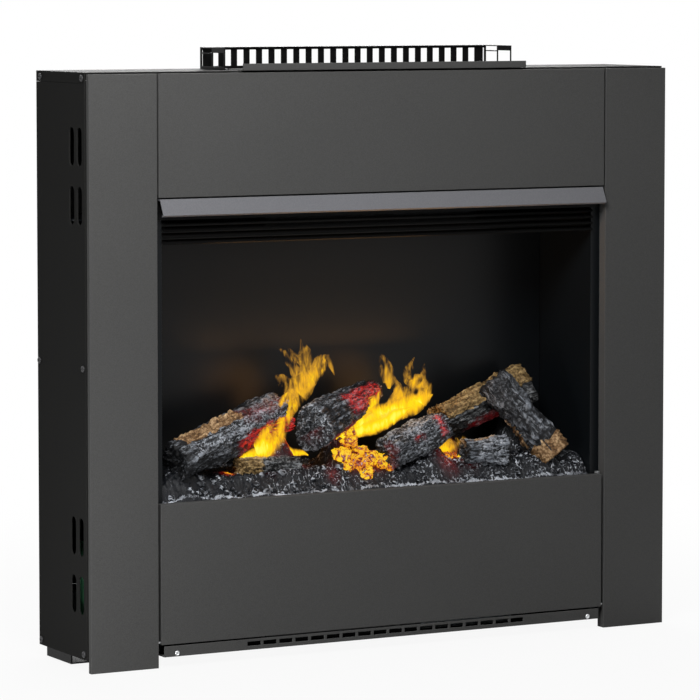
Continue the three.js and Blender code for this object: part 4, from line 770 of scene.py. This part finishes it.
# Each tongue: depth y at its foot and tip, heat at its foot and tip, and points (x, z, half width) in mm.
TONGUES = [
    (-26, -8, 1.0, 0.25, [(-137, 211, 8), (-125, 216, 16), (-112, 224, 14), (-103, 237, 9), (-95, 251, 9),
                          (-84, 264, 13), (-76, 278, 15), (-72, 293, 14), (-72, 307, 8), (-76, 322, 0.8)]),
    (-14, -6, 0.70, 0.20, [(-80, 265, 8), (-68, 279, 9), (-57, 291, 10), (-48, 300, 7), (-40, 292, 3),
                           (-35, 282, 0.6)]),
    (-14, -6, 0.45, 0.05, [(-87, 261, 7), (-92, 272, 8), (-99, 280, 7), (-108, 284, 1.5)]),
    (-12, -6, 0.40, 0.0, [(-80, 286, 8), (-86, 299, 8), (-92, 308, 6), (-100, 312, 0.8)]),
    (-8, -8, 1.0, 0.90, [(-151, 196, 1.5), (-142, 200, 5), (-130, 204, 8), (-116, 206, 9), (-100, 205, 9),
                         (-84, 203, 7), (-74, 203, 4), (-67, 200, 0.8)]),
    (-24, -14, 0.80, 0.40, [(-129, 221, 5), (-116, 237, 6), (-107, 250, 5), (-100, 262, 3), (-94, 268, 0.6)]),
    (-14, -8, 1.0, 0.80, [(-37, 216, 1.5), (-25, 220, 7), (-10, 227, 12), (7, 234, 14), (24, 239, 13),
                          (42, 243, 12), (58, 248, 12), (72, 253, 8), (82, 256, 1)]),
    (-6, -2, 0.35, 0.25, [(28, 248, 3), (40, 254, 8), (52, 258, 9), (62, 262, 6), (68, 268, 0.8)]),
    (-14, -12, 1.0, 0.90, [(-33, 215, 2), (-16, 222, 6), (1, 225, 9), (21, 231, 9), (38, 238, 7), (52, 244, 1)]),
    (-12, -10, 0.90, 0.60, [(-17, 226, 3), (-5, 239, 6), (6, 250, 8), (15, 258, 5), (18, 264, 0.6)]),
    (-8, -4, 0.75, 0.10, [(29, 265, 2), (30, 273, 7), (27, 282, 9), (24, 292, 8), (21, 303, 0.8)]),
    (-12, -4, 1.0, 0.15, [(64, 249, 9), (71, 260, 11), (65, 268, 10), (55, 273, 8), (52, 280, 6), (57, 289, 4),
                           (62, 296, 0.6)]),
    (-10, -6, 0.55, 0.10, [(70, 264, 6), (71, 274, 5), (71, 283, 3), (74, 290, 0.6)]),
    (-8, -4, 0.45, 0.10, [(42, 254, 6), (41, 265, 6), (39, 272, 3), (37, 278, 0.6)]),
    (-16, -12, 1.0, 0.35, [(70, 194, 1.2), (82, 198, 5), (97, 201, 9), (112, 202, 10), (124, 198, 6),
                           (132, 192, 0.8)]),
]


FLAME_SECTIONS = 28
FLAME_SIDES = 20


def curve_through(a, b, c, d, t):
    """Smooth curve from b to c, with a and d as its neighbours."""
    return 0.5 * (2 * b + (c - a) * t + (2 * a - 5 * b + 4 * c - d) * t ** 2
                  + (3 * b - a - 3 * c + d) * t ** 3)


def build_flames():
    sections, around = FLAME_SECTIONS, FLAME_SIDES
    points, faces = [], []
    fields = {"across": [], "level": [], "hotness": []}
    for number, (foot_y, tip_y, foot_heat, tip_heat, spine) in enumerate(TONGUES):
        first = len(points)
        for i in range(sections + 1):
            share = i / sections * (len(spine) - 1)
            k = min(int(share), len(spine) - 2)
            here = share - k
            before, after = spine[max(k - 1, 0)], spine[min(k + 2, len(spine) - 1)]
            x, z, half = (curve_through(before[a], spine[k][a], spine[k + 1][a], after[a], here) for a in range(3))
            ahead = min(share + 0.05, len(spine) - 1.0)
            m = min(int(ahead), len(spine) - 2)
            run = Vector((spine[m + 1][0] - spine[m][0], spine[m + 1][1] - spine[m][1])).normalized()
            side = Vector((run.y, 0, -run.x))
            height = i / sections
            y = mix(foot_y, tip_y, height)
            ruffle = 1 + 0.16 * noise.noise(Vector((number * 3.7, height * 6, 0.0)))
            wide = max(half, 0.4) * ruffle
            thick = min(wide * 0.22, 2.2) + 0.12
            for j in range(around):
                turn = 2 * math.pi * j / around
                u = math.cos(turn)
                wave = 1.1 * noise.noise(Vector((x * 0.05, z * 0.05, u * 1.5 + number)))
                spot = Vector((x, y + wave, z)) + side * (u * wide) + Vector((0, math.sin(turn) * thick, 0))
                points.append(spot * 0.001)
                fields["across"].append(u)
                fields["level"].append(height)
                fields["hotness"].append(mix(foot_heat, tip_heat, height ** 0.6))
        for i in range(sections):
            for j in range(around):
                a, b = first + i * around + j, first + i * around + (j + 1) % around
                faces.append((a, a + around, b + around, b))
        faces.append([first + j for j in range(around)])
        faces.append([first + sections * around + j for j in reversed(range(around))])
    mesh = mesh_from("flames", points, faces, fields)
    made = make_piece("flames", mesh, "flame", "fuel_bed")
    made.visible_shadow = False


build_flames()

# ---------------------------------------------------------------- screws and small trim


def screw_mesh(whole, place, outward, radius, recess):
    """A pan head with a driver recess, seated on place and facing outward."""
    rings, steps = 12, 36
    turn = Vector((0, 0, 1)).rotation_difference(outward).to_matrix()
    head = radius * 0.62

    def height(share, angle):
        dome = head * math.sqrt(max(1 - (share * 0.93) ** 2.4, 0.0)) + 0.0001
        lobes = 0.42 + (0.10 * math.cos(6 * angle) if recess == "star" else 0.16 * math.cos(4 * angle))
        return dome - head * 0.62 * (1 - smoothstep(lobes - 0.04, lobes + 0.04, share))

    centre = whole.verts.new(place + turn @ Vector((0, 0, height(0, 0))))
    base = whole.verts.new(place)
    loops = []
    for i in range(1, rings + 1):
        share = i / rings
        loops.append([whole.verts.new(place + turn @ Vector((
            radius * share * math.cos(2 * math.pi * j / steps), radius * share * math.sin(2 * math.pi * j / steps),
            height(share, 2 * math.pi * j / steps)))) for j in range(steps)])
    loops.append([whole.verts.new(place + turn @ Vector((
        radius * math.cos(2 * math.pi * j / steps), radius * math.sin(2 * math.pi * j / steps), 0.0)))
        for j in range(steps)])
    for j in range(steps):
        k = (j + 1) % steps
        whole.faces.new((centre, loops[0][j], loops[0][k]))
        whole.faces.new((base, loops[-1][k], loops[-1][j]))
        for inner, outer in zip(loops, loops[1:]):
            whole.faces.new((inner[j], outer[j], outer[k], inner[k]))


def build_screws(name, slot, rows):
    whole = bmesh.new()
    for place, outward, radius, recess in rows:
        screw_mesh(whole, Vector(place), Vector(outward), radius, recess)
    mesh = bpy.data.meshes.new(name)
    whole.to_mesh(mesh)
    whole.free()
    make_piece(name, mesh, slot, "casing")


SCREW_RADIUS = 0.0034
SIDE_SCREWS = [(-0.045, 0.596), (0.056, 0.596), (-0.045, 0.306), (0.062, 0.306), (-0.044, 0.018), (0.061, 0.018)]
side_rows = [((sign * SIDE_X, y, z), (sign, 0, 0), SCREW_RADIUS, "cross") for sign in (-1, 1) for y, z in SIDE_SCREWS]
build_screws("side_screws", "black_plastic", side_rows)
build_screws("rail_screws", "steel", [
    ((sign * 0.244, FRONT_Y, 0.0139), (0, -1, 0), 0.0026, "star") for sign in (-1, 1)])
BACK_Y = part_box("back_panel")[1].y
BACK_SCREWS = [(-0.318, 0.090), (0.318, 0.090), (-0.318, 0.330), (0.318, 0.330), (-0.318, 0.575), (0.318, 0.575),
               (-0.160, 0.582), (0.0, 0.582), (0.160, 0.582), (-0.263, 0.022), (0.030, 0.022), (0.318, 0.022),
               (0.318, 0.064), (-0.320, 0.064), (-0.320, 0.022)]
build_screws("back_screws", "black_plastic", [
    ((x, BACK_Y, z), (0, 1, 0), SCREW_RADIUS, "cross") for x, z in BACK_SCREWS])

# ---------------------------------------------------------------- studio


def build_floor():
    size = 12.0
    mesh = mesh_from("floor", [(-size, -size, 0), (size, -size, 0), (size, size, 0), (-size, size, 0)],
                     [(0, 1, 2, 3)])
    f = Finish("floor")
    tone = f.noise(3.0, 2.0)
    lit = f.node("ShaderNodeBsdfDiffuse", {"Color": f.ramp(tone, (0.0, (0.42, 0.42, 0.42)), (1.0, (0.46, 0.46, 0.46)))})
    white = f.node("ShaderNodeEmission", {"Color": (1, 1, 1, 1), "Strength": 1.0})
    away = f.node("ShaderNodeVectorMath", {0: f.place}, operation="LENGTH").outputs["Value"]
    paper = f.plus(f.times(f.rise(away, 0.4, 1.3), 0.08), 0.92)
    mixed = f.node("ShaderNodeMixShader", {0: f.times(seen_rays(f), paper), 1: lit.outputs[0], 2: white.outputs[0]})
    f.tree.links.new(mixed.outputs[0], f.output.inputs["Surface"])
    mesh.materials.append(f.material)
    floor = bpy.data.objects.new("floor", mesh)
    bpy.context.scene.collection.objects.link(floor)


def seen_rays(f):
    """1 for rays that show the background: from the camera, or by reflection or through glass."""
    rays = f.node("ShaderNodeLightPath").outputs
    shown = f.math("MAXIMUM", rays["Is Camera Ray"], rays["Is Glossy Ray"])
    return f.math("MAXIMUM", shown, rays["Is Transmission Ray"])


def build_world(fill):
    world = bpy.data.worlds.new("studio")
    bpy.context.scene.world = world
    world.use_nodes = True
    tree = world.node_tree
    tree.nodes.clear()
    rays = tree.nodes.new("ShaderNodeLightPath").outputs
    first = tree.nodes.new("ShaderNodeMath")
    second = tree.nodes.new("ShaderNodeMath")
    first.operation = second.operation = "MAXIMUM"
    tree.links.new(rays["Is Camera Ray"], first.inputs[0])
    tree.links.new(rays["Is Glossy Ray"], first.inputs[1])
    tree.links.new(first.outputs[0], second.inputs[0])
    tree.links.new(rays["Is Transmission Ray"], second.inputs[1])
    shown = tree.nodes.new("ShaderNodeBackground")
    shown.inputs["Strength"].default_value = 1.0
    light = tree.nodes.new("ShaderNodeBackground")
    light.inputs["Strength"].default_value = fill
    for background in (shown, light):
        background.inputs["Color"].default_value = (1, 1, 1, 1)
    mixed = tree.nodes.new("ShaderNodeMixShader")
    tree.links.new(second.outputs[0], mixed.inputs[0])
    tree.links.new(light.outputs[0], mixed.inputs[1])
    tree.links.new(shown.outputs[0], mixed.inputs[2])
    out = tree.nodes.new("ShaderNodeOutputWorld")
    tree.links.new(mixed.outputs[0], out.inputs["Surface"])


def area_light(name, place, target, size, power, colour=(1, 1, 1)):
    data = bpy.data.lights.new(name, "AREA")
    data.shape = "RECTANGLE"
    data.size, data.size_y = size
    data.energy = power
    data.color = colour
    made = bpy.data.objects.new(name, data)
    made.location = place
    made.rotation_euler = (Vector(target) - Vector(place)).to_track_quat("-Z", "Y").to_euler()
    made.visible_camera = False
    bpy.context.scene.collection.objects.link(made)
    return made


def point_light(name, place, power, radius, colour):
    data = bpy.data.lights.new(name, "POINT")
    data.energy = power
    data.color = colour
    data.shadow_soft_size = radius
    made = bpy.data.objects.new(name, data)
    made.location = place
    bpy.context.scene.collection.objects.link(made)
    return made


CAMERA_YAW = math.radians(28.4)
CAMERA_PITCH = math.radians(4.3)
camera_data = bpy.data.cameras.new("camera")
camera_data.sensor_width = 36.0
camera_data.lens = 201.5
camera_data.shift_y = -0.1
camera_data.clip_end = 60.0
camera = bpy.data.objects.new("camera", camera_data)
camera.location = (-1.958, -3.597, 0.688)
camera.rotation_euler = (math.pi / 2 - CAMERA_PITCH, 0, -CAMERA_YAW)
bpy.context.scene.collection.objects.link(camera)
bpy.context.scene.camera = camera

build_floor()
build_world(0.04)
area_light("key", (-0.66, -0.86, 1.16), (-0.1, 0, 0.35), (0.5, 0.5), 18)
area_light("top", (0.3, -0.1, 1.9), (0.1, 0, 0.3), (1.4, 0.8), 9)
area_light("side_fill", (-0.66, -0.30, 0.03), (-0.34, 0.02, 0.05), (0.2, 0.05), 1.1)
area_light("rear", (0.7, 2.0, 1.5), (0, 0, 0.3), (1.6, 1.2), 75)
area_light("right", (2.2, 0.5, 1.0), (0.3, 0, 0.3), (1.0, 1.0), 26)
area_light("flame_uplight", (0.0, -0.020, 0.300), (0.0, -0.028, 0.45), (0.26, 0.03), 0.3, (1.0, 0.50, 0.16))
warm = (1.0, 0.45, 0.12)
point_light("left_flame_glow", (-0.090, -0.004, 0.262), 0.12, 0.035, warm)
point_light("right_flame_glow", (0.045, -0.004, 0.262), 0.12, 0.035, warm)
bpy.context.scene.view_settings.view_transform = "Standard"
